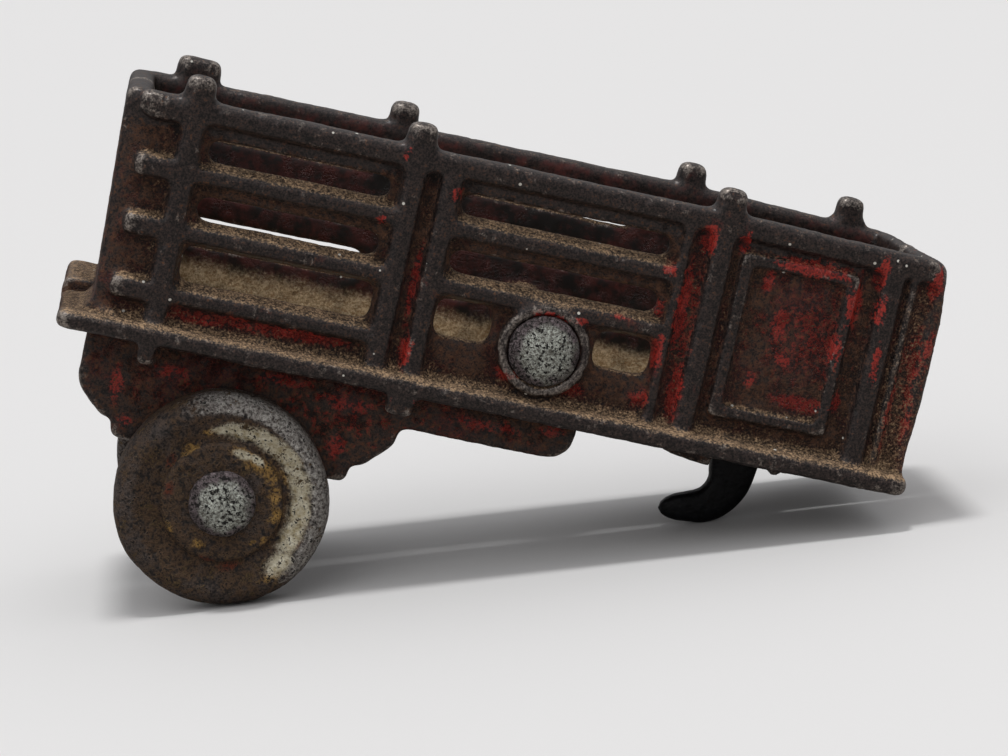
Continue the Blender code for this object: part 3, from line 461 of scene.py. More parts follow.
def mark_casting(mesh):
    """Store what the casting's finish follows, each about 0 to 1.

    hollow and edge are how far the relaxed surface lies in front of and behind each point,
    relief is how proud of the wall it stands, with the sheltered inside, ends and chassis
    taken as level with it, and enamel is the flakes' share. dust is how far it faces up, more
    on the slats and less on the rubbed rail, with what gathers in hollows, at the walls' foot
    and down the front end. shaded is the inside of the bed below the rail, and settled the
    thick dust low in it, where no hand reaches.
    """
    points, edges, normals = read_mesh(mesh)
    wide = ((relaxed(points, edges, 50) - points) * normals).sum(axis=1)
    fine = ((relaxed(points, edges, 7) - points) * normals).sum(axis=1)
    upward = np.clip(relaxed(normals, edges, 4)[:, 2], 0.0, 1.0)
    hollow = np.clip(wide / 0.5, -1.0, 1.0)
    side, height = np.abs(points[:, 1]), points[:, 2]
    rubbed = span(height, *RUBBED_HEIGHTS)
    foot = (1.0 - span(height, 2.2, 5.0)) * span(height, 0.8, 1.9)
    slats = span(height, *SLAT_HEIGHTS)
    front = span(points[:, 0], *FRONT_RIB) * span(height, 1.0, 2.5) * (1.0 - rubbed)
    ledge = span(upward, 0.25, 0.95)
    dust = (ledge * (0.62 + 0.3 * slats - 0.7 * rubbed)
            + 0.4 * np.clip(hollow, 0.0, 1.0) * (1.0 - 0.8 * rubbed) + 0.15 * foot
            + 0.42 * front * (1.0 - 0.3 * span(height, 4.0, 14.0)))
    inside = ((1.0 - span(side, WALL_INNER - 0.1, WALL_INNER + 0.5)) * span(height, 0.6, 1.8)
              * span(points[:, 0], *BED_REAR) * (1.0 - span(points[:, 0], *BED_FRONT)))
    settled = (inside * (1.0 - span(height, *DUSTY_HEIGHTS))
               * (0.55 + 0.45 * span(height, 1.7, 3.0)))
    proud = np.maximum((side - WALL_OUTER) / (POST_FACE - WALL_OUTER), 2.0 * rubbed - 1.0)
    ends = 1.0 - span(points[:, 0], *REAR_END) + span(points[:, 0], *FRONT_END)
    sheltered = np.maximum(np.maximum(inside, ends * span(height, 2.2, 3.2)) * (1.0 - rubbed),
                           1.0 - span(height, -0.8, -0.2))
    proud = proud + sheltered * (0.1 - proud)
    write_mark(mesh, "hollow", hollow)
    write_mark(mesh, "edge", np.clip(-fine / 0.09, -1.0, 1.0))
    write_mark(mesh, "relief", np.clip(proud, -1.0, 1.5))
    write_mark(mesh, "enamel", flakes(points) * (1.0 - 0.75 * inside))
    write_mark(mesh, "dust", dust)
    write_mark(mesh, "shaded", inside * (1.0 - 0.6 * rubbed))
    write_mark(mesh, "settled", settled)
    write_points(mesh, inside_box(to_world(points)))
    return mesh


# Wheel zones by radius, in mm: hub disc, dished ring, tyre shoulder and rim
HUB_RADIUS = 6.3
DISH_RADIUS = 8.9
WHEEL_RADIUS = 11.3
WHEEL_HALF_WIDTH = 2.5
WHEEL_MIDDLE = 12.9


def wheel_profile():
    """A wheel's section as (radius, distance out from its middle plane), in mm.

    It runs from the bore over the flat hub disc, down its step into the dished ring, up to
    the rounded tyre, across the tread and over the flat back to the bore again.
    """
    face = WHEEL_HALF_WIDTH
    shoulder = np.linspace(0.0, math.pi / 2, 9)
    tyre = np.stack([9.4 + 1.9 * np.sin(shoulder), face - 1.9 * (1 - np.cos(shoulder))],
                    axis=1)
    back = np.linspace(0.0, math.pi / 2, 6)
    heel = np.stack([10.5 + 0.8 * np.cos(back), -face + 0.8 * (1 - np.sin(back))], axis=1)
    front = np.array([(2.05, face - 0.35), (2.05, face - 0.05), (3.3, face - 0.02),
                      (5.9, face - 0.08), (HUB_RADIUS, face - 0.25),
                      (HUB_RADIUS + 0.1, face - 0.9), (6.7, face - 0.9),
                      (7.6, face - 0.6), (8.3, face - 0.35), (DISH_RADIUS, face - 0.08)])
    rear = np.array([(4.5, -face), (2.05, -face), (2.05, face - 0.35)])
    return softened(resampled(np.concatenate([front, tyre, heel, rear]), 0.16), 2)


def span(value, start, end):
    """0 below start, 1 above end, and 3t^2 - 2t^3 between."""
    share = np.clip((value - start) / (end - start), 0.0, 1.0)
    return share * share * (3.0 - 2.0 * share)


# Patches on a wheel's face: angle in degrees, radius, half width in degrees, half height
WHEEL_PATCHES = {
    # Cream paint left in the dish, laid almost only on its right side where the dish catches the light: partly
    # painted light
    "cream_and_dish_light": ((66, 7.5, 16, 0.7), (46, 7.8, 15, 0.85), (26, 8.2, 13, 0.95), (6, 8.2, 13, 1.0),
              (-14, 8.1, 13, 1.0), (-34, 8.1, 12, 0.95), (-54, 8.8, 9, 0.9), (82, 7.4, 8, 0.4),
              (60, 5.4, 9, 0.4), (44, 5.7, 7, 0.35)),
    "ochre": ((236, 5.0, 9, 0.55), (92, 7.3, 9, 0.35), (114, 6.4, 9, 0.4), (58, 5.6, 18, 0.6),
              (26, 5.7, 16, 0.8), (2, 5.6, 14, 0.8), (-20, 5.8, 13, 0.7), (40, 5.2, 24, 0.8),
              (-60, 5.3, 5, 0.3), (-48, 5.9, 7, 0.3), (12, 6.9, 12, 0.3), (-62, 9.4, 9, 0.6),
              (200, 6.0, 6, 0.3)),
    "rust": ((270, 6.9, 11, 0.6), (134, 6.7, 8, 0.5), (-4, 8.5, 5, 0.6), (22, 8.9, 4, 0.5),
             (-36, 9.0, 5, 0.5), (250, 6.2, 9, 0.4), (160, 5.6, 10, 0.6)),
}


def wheel_patches(kind, radius, degrees):
    """The strongest bell curve of one kind of patch at each point of a wheel's face."""
    share = np.zeros(len(radius))
    for angle, middle, half_width, half_height in WHEEL_PATCHES[kind]:
        turn = np.mod(degrees - angle + 180.0, 360.0) - 180.0
        away = (turn / half_width) ** 2 + ((radius - middle) / half_height) ** 2
        share = np.maximum(share, np.exp(-0.7 * away))
    return share


def wheel_piece(side, turn, seed):
    """A turned wheel with a worn outline, hammered faces and pits, and the marks of its finish and its painted
    light.

    turn is how far round the axle the wear pattern is turned, in radians.
    """
    grid = turned_grid(wheel_profile(), (0.0, 0.0, 0.0), 340)
    grid[..., 1] *= side
    mesh = outward(grid_mesh("wheel", grid, around=True, caps=False))
    points, edges, normals = read_mesh(mesh)
    radius = np.hypot(points[:, 0], points[:, 2])
    angle = np.arctan2(points[:, 2], points[:, 0]) - turn
    rim = span(radius, 7.0, 10.5)
    worn = (0.09 + 0.07 * np.sin(3.0 * angle + 0.6) + 0.04 * np.sin(7.0 * angle)) * rim
    points[:, [0, 2]] *= (1.0 - worn / WHEEL_RADIUS)[:, None]
    push = (0.05 * rough_noise(points, 4.0, seed) + 0.035 * rough_noise(points, 1.1, seed + 5)
            - 0.12 * pits(points, 0.9, seed + 9, 0.35)
            - 0.06 * pits(points, 0.45, seed + 13, 0.35) - 0.06)
    bore = span(radius, 2.2, 2.8)
    write_points(mesh, points + normals * (push * bore)[:, None])
    facing = span(side * points[:, 1], -1.0, 1.2)
    degrees = np.degrees(angle)
    for kind in WHEEL_PATCHES:
        write_mark(mesh, kind, wheel_patches(kind, radius, degrees) * facing)
    # Painted highlight: the bright mark puts worn silver on the tyre, strongest on its right and top, the side the
    # light falls on
    arc = np.mod(degrees + 180.0, 360.0) - 180.0
    lit = span(arc, -80.0, -45.0) * (1.0 - 0.75 * span(arc, 80.0, 120.0))
    tyre = span(radius, 8.7, 9.6)
    write_mark(mesh, "bright", tyre * np.maximum(0.3, lit) * (0.6 + 0.4 * facing))
    fine = ((relaxed(points, edges, 12) - points) * normals).sum(axis=1)
    write_mark(mesh, "hollow", np.clip(fine / 0.12, -1.0, 1.0))
    centre = AXLE_CENTRE + np.array([0.0, side * WHEEL_MIDDLE * MM, 0.0])
    write_points(mesh, inside_box(read_mesh(mesh)[0] * MM + centre))
    return mesh


# Pins, in mm: the radii of shank and head, a dome's height, and its seat from the seam
RIVET_SIZES = (1.6, 3.76, 1.9, 14.1)
AXLE_SIZES = (1.75, 3.5, 1.6, 15.7)


def pin_mesh(centre, shank, head, height, seat, seed):
    """A peened pin lying along Y: a shank between two domes, dented by the hammer.

    A dome's height falls as the cosine of a quarter turn over its radius' sine, on a short
    upright rim. Soft noise dents it and a finer one pits it. The rim mark is where the dome
    is brown: towards its edge, and most to the upper left.
    """
    quarter = np.linspace(0.0, math.pi / 2, 26)
    dome = np.stack([head * np.sin(quarter), seat + height * (0.22 + 0.78 * np.cos(quarter))],
                    axis=1)
    foot = np.array([(head * 0.985, seat + 0.08 * height), (head * 0.93, seat),
                     (shank, seat), (shank, seat * 0.5)])
    half = np.concatenate([dome, foot])
    whole = np.concatenate([half, half[::-1] * np.array([1.0, -1.0])])
    profile = resampled(whole, 0.14)
    profile[[0, -1], 0] = 0.0
    mesh = outward(grid_mesh("pin", turned_grid(profile, (0.0, 0.0, 0.0), 160), True, False))
    points, _, normals = read_mesh(mesh)
    head_share = span(np.abs(points[:, 1]), seat - 0.2, seat + 0.2)
    push = (0.055 * rough_noise(points, 2.2, seed) + 0.03 * rough_noise(points, 0.8, seed + 3)
            - 0.09 * pits(points, 0.65, seed + 7, 0.3) - 0.06) * head_share
    radius = np.hypot(points[:, 0], points[:, 2])
    lean = 0.5 + 0.35 * (points[:, 2] - points[:, 0]) / np.maximum(radius, 0.1)
    rim = span(radius / head, 0.5, 1.0) * (0.55 + 0.6 * lean)
    write_mark(mesh, "rim", np.maximum(rim, 1.0 - head_share))
    points = points + normals * push[:, None]
    write_points(mesh, inside_box(points * MM + centre))
    return mesh


# The hook, in mm: its shank's end, the bend's radius and angle, the tail's length, its
# widths and depths at the root and at the tip, and how far the rounded tip reaches on
HOOK_SHANK_END = -3.7
HOOK_BEND_RADIUS = 4.2
HOOK_BEND_ANGLE = math.radians(76.0)
HOOK_TAIL = 2.7
HOOK_WIDTHS = (5.8, 2.8)
HOOK_DEPTHS = (3.0, 2.5)
HOOK_TIP_REACH = 1.3
HOOK_TIP_START = 0.88
HOOK_SQUARENESS = 0.62


def hook_grid():
    """The coupling hook: a rounded bar carried down the shank, round the bend to the tip.

    Its centreline is a straight, an arc and a straight. Each section is a rounded square,
    cos and sin each to the power of the squareness, as wide as the taper says. Past the
    tip's start it closes as a circle does, sqrt(1 - t^2), while it reaches on.
    """
    bend, last = HOOK_BEND_RADIUS, HOOK_BEND_ANGLE
    turns = np.linspace(0.0, last, 34)
    top = np.stack([np.full(12, HOOK_PLACE), np.linspace(-0.4, HOOK_SHANK_END, 12)], axis=1)
    arc = np.stack([HOOK_PLACE - bend + bend * np.cos(turns),
                    HOOK_SHANK_END - bend * np.sin(turns)], axis=1)
    tail = arc[-1] - (np.linspace(0.0, HOOK_TAIL, 16)[:, None]
                      * [math.sin(last), math.cos(last)])
    line = resampled(np.concatenate([top, arc, tail]), 0.16)
    run = np.linspace(0.0, 1.0, len(line))
    tip = np.clip((run - HOOK_TIP_START) / (1.0 - HOOK_TIP_START), 0.0, 1.0)
    cap = np.maximum(np.sqrt(np.clip(1.0 - tip ** 2, 0.0, 1.0)), 0.03)
    width = (HOOK_WIDTHS[0] + (HOOK_WIDTHS[1] - HOOK_WIDTHS[0]) * run) / 2 * cap
    depth = (HOOK_DEPTHS[0] + (HOOK_DEPTHS[1] - HOOK_DEPTHS[0]) * run) / 2 * cap
    heading = np.gradient(line, axis=0)
    heading /= np.linalg.norm(heading, axis=1, keepdims=True)
    line = line + heading * (HOOK_TIP_REACH * tip)[:, None]
    around = np.linspace(0.0, FULL_TURN, 48, endpoint=False)
    wide = np.sign(np.cos(around)) * np.abs(np.cos(around)) ** HOOK_SQUARENESS
    deep = np.sign(np.sin(around)) * np.abs(np.sin(around)) ** HOOK_SQUARENESS
    across = np.stack([heading[:, 1], -heading[:, 0]], axis=1)
    x = line[:, 0][:, None] + across[:, 0][:, None] * wide * width[:, None]
    z = line[:, 1][:, None] + across[:, 1][:, None] * wide * width[:, None]
    y = deep * depth[:, None]
    return np.stack([x, y, z], axis=-1)


def hook_mesh(seed):
    """The hook's bar and the crosswise root that the castings clamp, slightly uneven."""
    bar = grid_mesh("hook", hook_grid(), around=True)
    root = grid_mesh("root", ball((HOOK_PLACE, 0.0, 0.0), (4.1, 1.4, 0.75)), around=True)
    work = bmesh.new()
    for mesh in (bar, root):
        work.from_mesh(mesh)
    bmesh.ops.recalc_face_normals(work, faces=work.faces)
    joined = bpy.data.meshes.new("hook")
    work.to_mesh(joined)
    work.free()
    points, _, normals = read_mesh(joined)
    push = 0.05 * rough_noise(points, 2.4, seed) + 0.02 * rough_noise(points, 0.7, seed + 3)
    points = points + normals * (push - 0.03)[:, None]
    write_points(joined, inside_box(to_world(points)))
    return joined


# ---------------------------------------------------------------- finishes

def coat_layers(tree, rows):
    """Lay coats over each other; give back the top colour, roughness and metallic sockets.

    A row is a dark and a pale colour, the noise that mixes them, the share of the surface
    that the coat covers, its roughness and its metallic value. The first row covers all.
    """
    colour = rough = metal = None
    for dark, pale, tone, share, roughness, metallic in rows:
        mixed = add_node(tree, "ShaderNodeMix", {0: tone, 6: dark, 7: pale},
                         data_type="RGBA").outputs[2]
        if colour is None:
            colour, rough, metal = mixed, roughness, metallic
            continue
        colour = add_node(tree, "ShaderNodeMix", {0: share, 6: colour, 7: mixed},
                          data_type="RGBA").outputs[2]
        rough = add_node(tree, "ShaderNodeMix", {0: share, 2: rough, 3: roughness}).outputs[0]
        metal = add_node(tree, "ShaderNodeMix", {0: share, 2: metal, 3: metallic}).outputs[0]
    return colour, rough, metal


def weighed(tree, start, end, *terms):
    """A share from 0 to 1: the sum of (socket, weight) terms, eased from start to end."""
    total = None
    for socket, weight in terms:
        scaled = add_node(tree, "ShaderNodeMath", {0: socket, 1: weight},
                          operation="MULTIPLY").outputs[0]
        total = scaled if total is None else add_node(
            tree, "ShaderNodeMath", {0: total, 1: scaled}, operation="ADD").outputs[0]
    return add_node(tree, "ShaderNodeMapRange", {"Value": total, "From Min": start,
                                                 "From Max": end},
                    interpolation_type="SMOOTHSTEP").outputs["Result"]


def surface_inputs(tree, widths, marks=()):
    """The sockets that a finish mixes: noises by name and the marks stored on the points.

    Each noise has features of a real width in mm, and its middle is spread from 0 to 1.
    """
    place = add_node(tree, "ShaderNodeTexCoord").outputs["Object"]
    found = {"place": place}
    for name, width in widths.items():
        noise = add_node(tree, "ShaderNodeTexNoise", {
            "Vector": place, "Scale": 1.0 / (width * MM), "Detail": 4.0, "Roughness": 0.6})
        found[name] = add_node(tree, "ShaderNodeMapRange", {
            "Value": noise.outputs["Fac"], "From Min": 0.32, "From Max": 0.68}).outputs[0]
    for name in marks:
        found[name] = add_node(tree, "ShaderNodeAttribute", attribute_name=name).outputs["Fac"]
    return found


def shaded(tree, output, coats, height, depth, strength, sheen=0.5):
    """Join the coats and a bump of the given depth, in mm, to a Principled shader."""
    colour, rough, metal = coats
    bump = add_node(tree, "ShaderNodeBump", {"Height": height, "Distance": depth * MM,
                                             "Strength": strength}).outputs["Normal"]
    shader = add_node(tree, "ShaderNodeBsdfPrincipled",
                      {"Base Color": colour, "Roughness": rough, "Metallic": metal,
                       "Specular IOR Level": sheen, "Normal": bump}).outputs[0]
    tree.links.new(shader, output.inputs["Surface"])


# How far apart the single pale grains of dust may lie, in mm; one cell in eight has one
SPECK_SPACING = 0.8


def worn_enamel_on_cast_iron(c):
    """Sand-cast iron dipped in red enamel: dark and faintly shiny where it stands proud.

    Handling wore the enamel off the high spots to bare iron, which darkened; the rubbed edges are
    paler, partly wear and partly a painted highlight. Grime filled the hollows, and the deepest are
    near black, partly dirt and partly painted shade. Dust settled on the ledges. The grain is cast
    sand, 0.3 mm and up.
    """
    made, tree, output = new_material("worn_enamel_on_cast_iron")
    n = surface_inputs(tree, {"broad": 6.0, "blotch": 2.0, "sand": 0.7, "grit": 0.32,
                              "fine": 0.2},
                       ("hollow", "edge", "relief", "enamel", "dust", "settled", "shaded"))
    cell = add_node(tree, "ShaderNodeTexVoronoi", {
        "Vector": n["place"], "Scale": 1.0 / (SPECK_SPACING * MM)})
    dot = add_node(tree, "ShaderNodeMapRange", {"Value": cell.outputs["Distance"],
                                                "From Min": 0.23, "From Max": 0.17})
    chosen = add_node(tree, "ShaderNodeMath", {0: cell.outputs["Color"], 1: 0.88},
                      operation="GREATER_THAN")
    specks = add_node(tree, "ShaderNodeMath", {0: dot.outputs[0], 1: chosen.outputs[0]},
                      operation="MULTIPLY").outputs[0]
    tone = weighed(tree, 0.2, 0.8, (n["sand"], 0.2), (n["grit"], 0.35), (n["fine"], 0.45))
    # Paler rubbed edges along the convex edges: partly real wear and partly a painted highlight
    polish_and_highlight = weighed(tree, 0.66, 1.1, (n["edge"], 0.74), (n["relief"], 0.08),
                     (n["sand"], 0.2), (n["fine"], 0.2))
    grime = weighed(tree, -0.15, 0.3, (n["hollow"], 0.3), (n["relief"], -0.6),
                    (n["blotch"], 0.15), (n["sand"], 0.25))
    old_enamel = weighed(tree, 0.5, 0.82, (n["broad"], 0.42), (n["blotch"], 0.35),
                         (n["sand"], 0.2), (n["enamel"], 0.5), (n["relief"], -0.22),
                         (n["edge"], -0.15))
    enamel = weighed(tree, 0.78, 0.98, (n["enamel"], 0.8), (n["blotch"], 0.2),
                     (n["sand"], 0.35), (n["grit"], 0.3), (n["edge"], -0.15))
    dirt = weighed(tree, 0.52, 0.76, (n["grit"], 0.5), (n["fine"], 0.35), (n["sand"], 0.25),
                   (n["relief"], -0.16), (n["enamel"], -0.12))
    old_inside = weighed(tree, 0.3, 0.75, (n["shaded"], 0.75), (n["blotch"], 0.2),
                         (n["sand"], 0.2))
    mottle = weighed(tree, 0.3, 0.8, (n["broad"], 0.45), (n["blotch"], 0.35), (n["sand"], 0.2))
    # Painted shade: near black laid into the deep hollows together with dark dirt, so that they read as shade
    crevice_dirt_and_shade = weighed(tree, 0.4, 0.9, (n["hollow"], 0.7), (n["blotch"], 0.3),
                      (n["dust"], -0.3))
    dust = weighed(tree, 0.6, 1.3, (n["dust"], 0.8), (n["grit"], 0.3), (n["fine"], 0.35),
                   (n["blotch"], 0.15))
    settled = weighed(tree, 0.4, 0.9, (n["settled"], 0.9), (n["broad"], 0.14),
                      (n["blotch"], 0.08), (n["grit"], 0.12))
    coats = coat_layers(tree, [
        (c.iron_dark, c.iron_pale, tone, None, 0.36, 0.2),
        (c.grime_dark, c.grime_pale, tone, grime, 0.8, 0.0),
        (c.maroon_dark, c.maroon_pale, tone, old_enamel, 0.55, 0.0),
        (c.enamel_dark, c.enamel_bright, tone, enamel, 0.48, 0.0),
        (c.grime_dark, c.grime_pale, n["sand"], dirt, 0.85, 0.0),
        (c.inside_dark, c.inside_pale, mottle, old_inside, 0.6, 0.0),
        # near black over the deep hollows: dark dirt and painted shade
        (c.pit_and_shade, c.grime_dark, tone, crevice_dirt_and_shade, 0.85, 0.0),
        # paler rubbed edges, partly wear and partly a painted highlight
        (c.polish_and_highlight_dark, c.polish_and_highlight_pale, tone, polish_and_highlight, 0.36, 0.35),
        (c.dust_dark, c.dust_pale, tone, dust, 0.95, 0.0),
        (c.settled_dark, c.settled_pale, tone, settled, 0.95, 0.0),
        (c.speck, c.speck, tone, specks, 0.8, 0.0),
    ])
    uneven = weighed(tree, 0.0, 1.0, (n["relief"], -0.5), (n["edge"], -0.2),
                     (n["hollow"], 0.5), (n["dust"], 0.5), (n["blotch"], 0.9))
    shaded(tree, output, coats, tone, 0.28, uneven, 0.45)
    return made


def worn_cream_on_cast_iron(c):
    """Cast iron, once nickelled and painted cream: brown rust, silver wear, cream remains.

    The silver on the tyre and the cream in the dish are strongest on the side the light falls on,
    partly as painted light.
    """
    made, tree, output = new_material("worn_cream_on_cast_iron")
    n = surface_inputs(tree, {"broad": 5.0, "blotch": 1.8, "sand": 0.7, "grit": 0.36,
                              "fine": 0.2},
                       ("cream_and_dish_light", "ochre", "rust", "bright", "hollow"))
    tone = weighed(tree, 0.2, 0.8, (n["sand"], 0.35), (n["grit"], 0.4), (n["fine"], 0.25))
    # brown bloom, thinned where the tyre's painted highlight lies
    brown = weighed(tree, 0.15, 0.65, (n["broad"], 0.45), (n["blotch"], 0.35), (n["sand"], 0.3),
                    (n["bright"], -0.35))
    tan = weighed(tree, 0.86, 0.97, (n["grit"], 0.65), (n["fine"], 0.45),
                  (n["blotch"], 0.15))
    # worn silver on the tyre, and a painted highlight on its lit side
    silver_and_highlight = weighed(tree, 0.58, 1.05, (n["bright"], 0.6), (n["grit"], 0.35),
                     (n["fine"], 0.25))
    ochre = weighed(tree, 0.66, 1.1, (n["ochre"], 0.6), (n["blotch"], 0.25), (n["sand"], 0.35),
                    (n["grit"], 0.3))
    rust = weighed(tree, 0.55, 1.0, (n["rust"], 0.65), (n["sand"], 0.3), (n["grit"], 0.25))
    # cream paint in the dish, and painted light on its lit side
    cream_and_dish_light = weighed(tree, 0.45, 0.9, (n["cream_and_dish_light"], 0.85), (n["sand"], 0.2),
                    (n["grit"], 0.25), (n["blotch"], 0.15))
    chipped = weighed(tree, 0.66, 0.76, (n["blotch"], 0.45), (n["sand"], 0.35),
                      (n["fine"], 0.2))
    pitted = weighed(tree, 0.64, 0.78, (n["grit"], 0.5), (n["fine"], 0.3), (n["sand"], 0.25))
    coats = coat_layers(tree, [
        (c.wheel_dark, c.wheel_pale, tone, None, 0.48, 0.25),
        (c.brown_dark, c.brown_pale, tone, brown, 0.75, 0.0),
        (c.tan_dark, c.tan_pale, n["sand"], tan, 0.85, 0.0),
        # silver wear and the tyre's painted highlight
        (c.silver_and_highlight_dark, c.silver_and_highlight_pale, n["grit"], silver_and_highlight, 0.32, 0.6),
        (c.rust_dark, c.rust_red, tone, rust, 0.8, 0.0),
        (c.ochre_dark, c.ochre_pale, tone, ochre, 0.8, 0.0),
        # cream paint and painted light in the dish
        (c.cream_and_light_dark, c.cream_and_light_pale, n["sand"], cream_and_dish_light, 0.5, 0.0),
        (c.brown_dark, c.tan_dark, n["fine"], chipped, 0.8, 0.0),
        (c.pit_and_shade, c.pit_and_shade, tone, pitted, 0.85, 0.0),
    ])
    shaded(tree, output, coats, tone, 0.2, 0.65)
    return made


def peened_steel(c):
    """Soft steel, hammered over and rubbed bright, with black pits that the rub passed."""
    made, tree, output = new_material("peened_steel")
    n = surface_inputs(tree, {"blotch": 1.6, "sand": 0.6, "grit": 0.36, "fine": 0.2},
                       ("rim",))
    tone = weighed(tree, 0.2, 0.8, (n["sand"], 0.4), (n["fine"], 0.6))
    dull = weighed(tree, 0.4, 0.85, (n["rim"], 0.75), (n["blotch"], 0.35), (n["sand"], 0.3))
    pitted = weighed(tree, 0.55, 0.65, (n["grit"], 0.6), (n["fine"], 0.2),
                     (n["sand"], 0.2))
    coats = coat_layers(tree, [
        (c.steel_dark, c.steel_pale, tone, None, 0.38, 0.55),
        (c.rim_dark, c.rim_pale, tone, dull, 0.5, 0.4),
        (c.pit_and_shade, c.pit_and_shade, tone, pitted, 0.8, 0.1),
    ])
    shaded(tree, output, coats, tone, 0.15, 0.7)
    return made


def black_japanned_iron(c):
    """Iron under black japan lacquer: nearly black, with a soft sheen and a little dust."""
    made, tree, output = new_material("black_japanned_iron")
    n = surface_inputs(tree, {"blotch": 2.5, "sand": 0.7, "grit": 0.3})
    dust = weighed(tree, 0.72, 1.0, (n["blotch"], 0.55), (n["grit"], 0.45))
    coats = coat_layers(tree, [
        (c.japan_dark, c.japan_pale, n["sand"], None, 0.36, 0.0),
        (c.iron_dark, c.grime_dark, n["grit"], dust, 0.7, 0.0),
    ])
    shaded(tree, output, coats, n["sand"], 0.15, 0.5, 0.2)
    return made


def pale_table(c):
    """A painted table top: matt, pale and plain. It throws back less light than it shows."""
    made, tree, output = new_material("pale_table")
    seen = add_node(tree, "ShaderNodeLightPath").outputs["Is Camera Ray"]
    colour = add_node(tree, "ShaderNodeMix", {0: seen, 6: c.floor_bounce, 7: c.floor},
                      data_type="RGBA").outputs[2]
    shader = add_node(tree, "ShaderNodeBsdfPrincipled",
                      {"Base Color": colour, "Roughness": 0.7}).outputs[0]
    tree.links.new(shader, output.inputs["Surface"])
    return made


# ---------------------------------------------------------------- what a user may change

def length(label, what, default):
    """A length setting in metres."""
    return bpy.props.FloatProperty(name=label, description=what, default=default,
                                   min=0.0, unit="LENGTH", precision=6)


def tint(label, what, code):
    """A colour setting from an sRGB hex value."""
    return bpy.props.FloatVectorProperty(name=label, description=what, default=linear(code),
                                         subtype="COLOR", size=4, min=0.0, max=1.0)


class CastingSettings(bpy.types.PropertyGroup):
    """How soft, uneven and fine the two castings are."""
    casting_grain: length("Grain", "Width of a cell when a casting is fused", 0.22 * MM)
    unevenness: length("Unevenness", "Height of the castings' waves", 0.075 * MM)
    pit_depth: length("Pit depth", "Depth of the castings' pits", 0.07 * MM)
    softening: bpy.props.IntProperty(name="Softening", default=16, min=0,
                                     description="Rounds of smoothing after fusing")
    casting_triangles: bpy.props.IntProperty(name="Triangles", default=190000, min=1000,
                                             description="Most triangles in one casting")


class FinishSettings(bpy.types.PropertyGroup):
    """The colours of every finish."""
    iron_dark: tint("Iron, dark", "Bare iron in its dark parts", "0E0B0B")
    iron_pale: tint("Iron, pale", "Bare iron in its pale parts", "433734")
    # The rubbed edges' colours, which also paint a highlight along the castings' convex edges
    polish_and_highlight_dark: tint("Polish, dark", "Rubbed high spots, darker", "463D39")
    polish_and_highlight_pale: tint("Polish, pale", "Rubbed high spots, paler", "A2988F")
    grime_dark: tint("Grime, dark", "Grime in the hollows, darker", "190D0A")
    grime_pale: tint("Grime, pale", "Grime in the hollows, paler", "64432F")
    maroon_dark: tint("Old enamel, dark", "Darkened enamel, darker", "190807")
    maroon_pale: tint("Old enamel, pale", "Darkened enamel, redder", "66271F")
    inside_dark: tint("Inside, dark", "Enamel in the bed's shade, darker", "0C0504")
    inside_pale: tint("Inside, pale", "Enamel in the bed's shade, redder", "521E19")
    enamel_dark: tint("Enamel, dark", "Red enamel flakes, darker", "4A120D")
    enamel_bright: tint("Enamel, bright", "Red enamel flakes, brighter", "BE3429")
    dust_dark: tint("Dust, dark", "Dust on the ledges, darker", "453324")
    dust_pale: tint("Dust, pale", "Dust on the ledges, paler", "BF9F7C")
    settled_dark: tint("Settled dust, dark", "Thick dust in the bed, darker", "AC8F6B")
    settled_pale: tint("Settled dust, pale", "Thick dust in the bed, paler", "EAD6B4")
    speck: tint("Specks", "Single pale grains of dust", "E2DED4")
    wheel_dark: tint("Wheel, dark", "The wheels' dark iron", "120D0C")
    wheel_pale: tint("Wheel, pale", "The wheels' greyer iron", "685B55")
    brown_dark: tint("Brown, dark", "The wheels' brown bloom, darker", "120A07")
    brown_pale: tint("Brown, pale", "The wheels' brown bloom, paler", "6A5038")
    tan_dark: tint("Tan, dark", "Tan grains on the wheels, darker", "6F5938")
    tan_pale: tint("Tan, pale", "Tan grains on the wheels, paler", "A58C60")
    rust_dark: tint("Rust, dark", "Red rust, darker", "35170E")
    rust_red: tint("Rust, red", "Red rust, paler", "7E3B22")
    # Also the colours of the tyre's painted highlight
    silver_and_highlight_dark: tint("Silver, dark", "Worn bright tyre, darker", "5A524E")
    silver_and_highlight_pale: tint("Silver, pale", "Worn bright tyre, paler", "DAD6CF")
    # Also the colours of the painted light on the wheel's dish
    cream_and_light_dark: tint("Cream, dark", "Cream paint, darker", "A08E64")
    cream_and_light_pale: tint("Cream, pale", "Cream paint, paler", "F0EAD4")
    ochre_dark: tint("Ochre, dark", "Rust bloom, darker", "5C411F")
    ochre_pale: tint("Ochre, pale", "Rust bloom, paler", "BC9450")
    steel_dark: tint("Steel, dark", "Steel where it dulls", "6C6A62")
    steel_pale: tint("Steel, pale", "Rubbed bright steel", "DADED4")
    rim_dark: tint("Rim, dark", "The heads' browned rims, darker", "332A2A")
    rim_pale: tint("Rim, pale", "The heads' browned rims, paler", "807476")
    # Also the near black of the castings' painted shade in their deep hollows
    pit_and_shade: tint("Pits", "The bottoms of pits", "14100E")
    japan_dark: tint("Japan, dark", "Black lacquer", "060607")
    japan_pale: tint("Japan, pale", "Black lacquer where it thins", "16161A")
    floor: tint("Floor", "The table top", "E8E7E6")
    floor_bounce: tint("Floor bounce", "What the table top throws on the toy", "A09C98")


# The photograph's width and the camera's fitted focal length, in pixels, and its sensor in mm
PHOTO_WIDTH = 1008.0
FOCUS_IN_PIXELS = 3200.0
SENSOR_WIDTH = 36.0


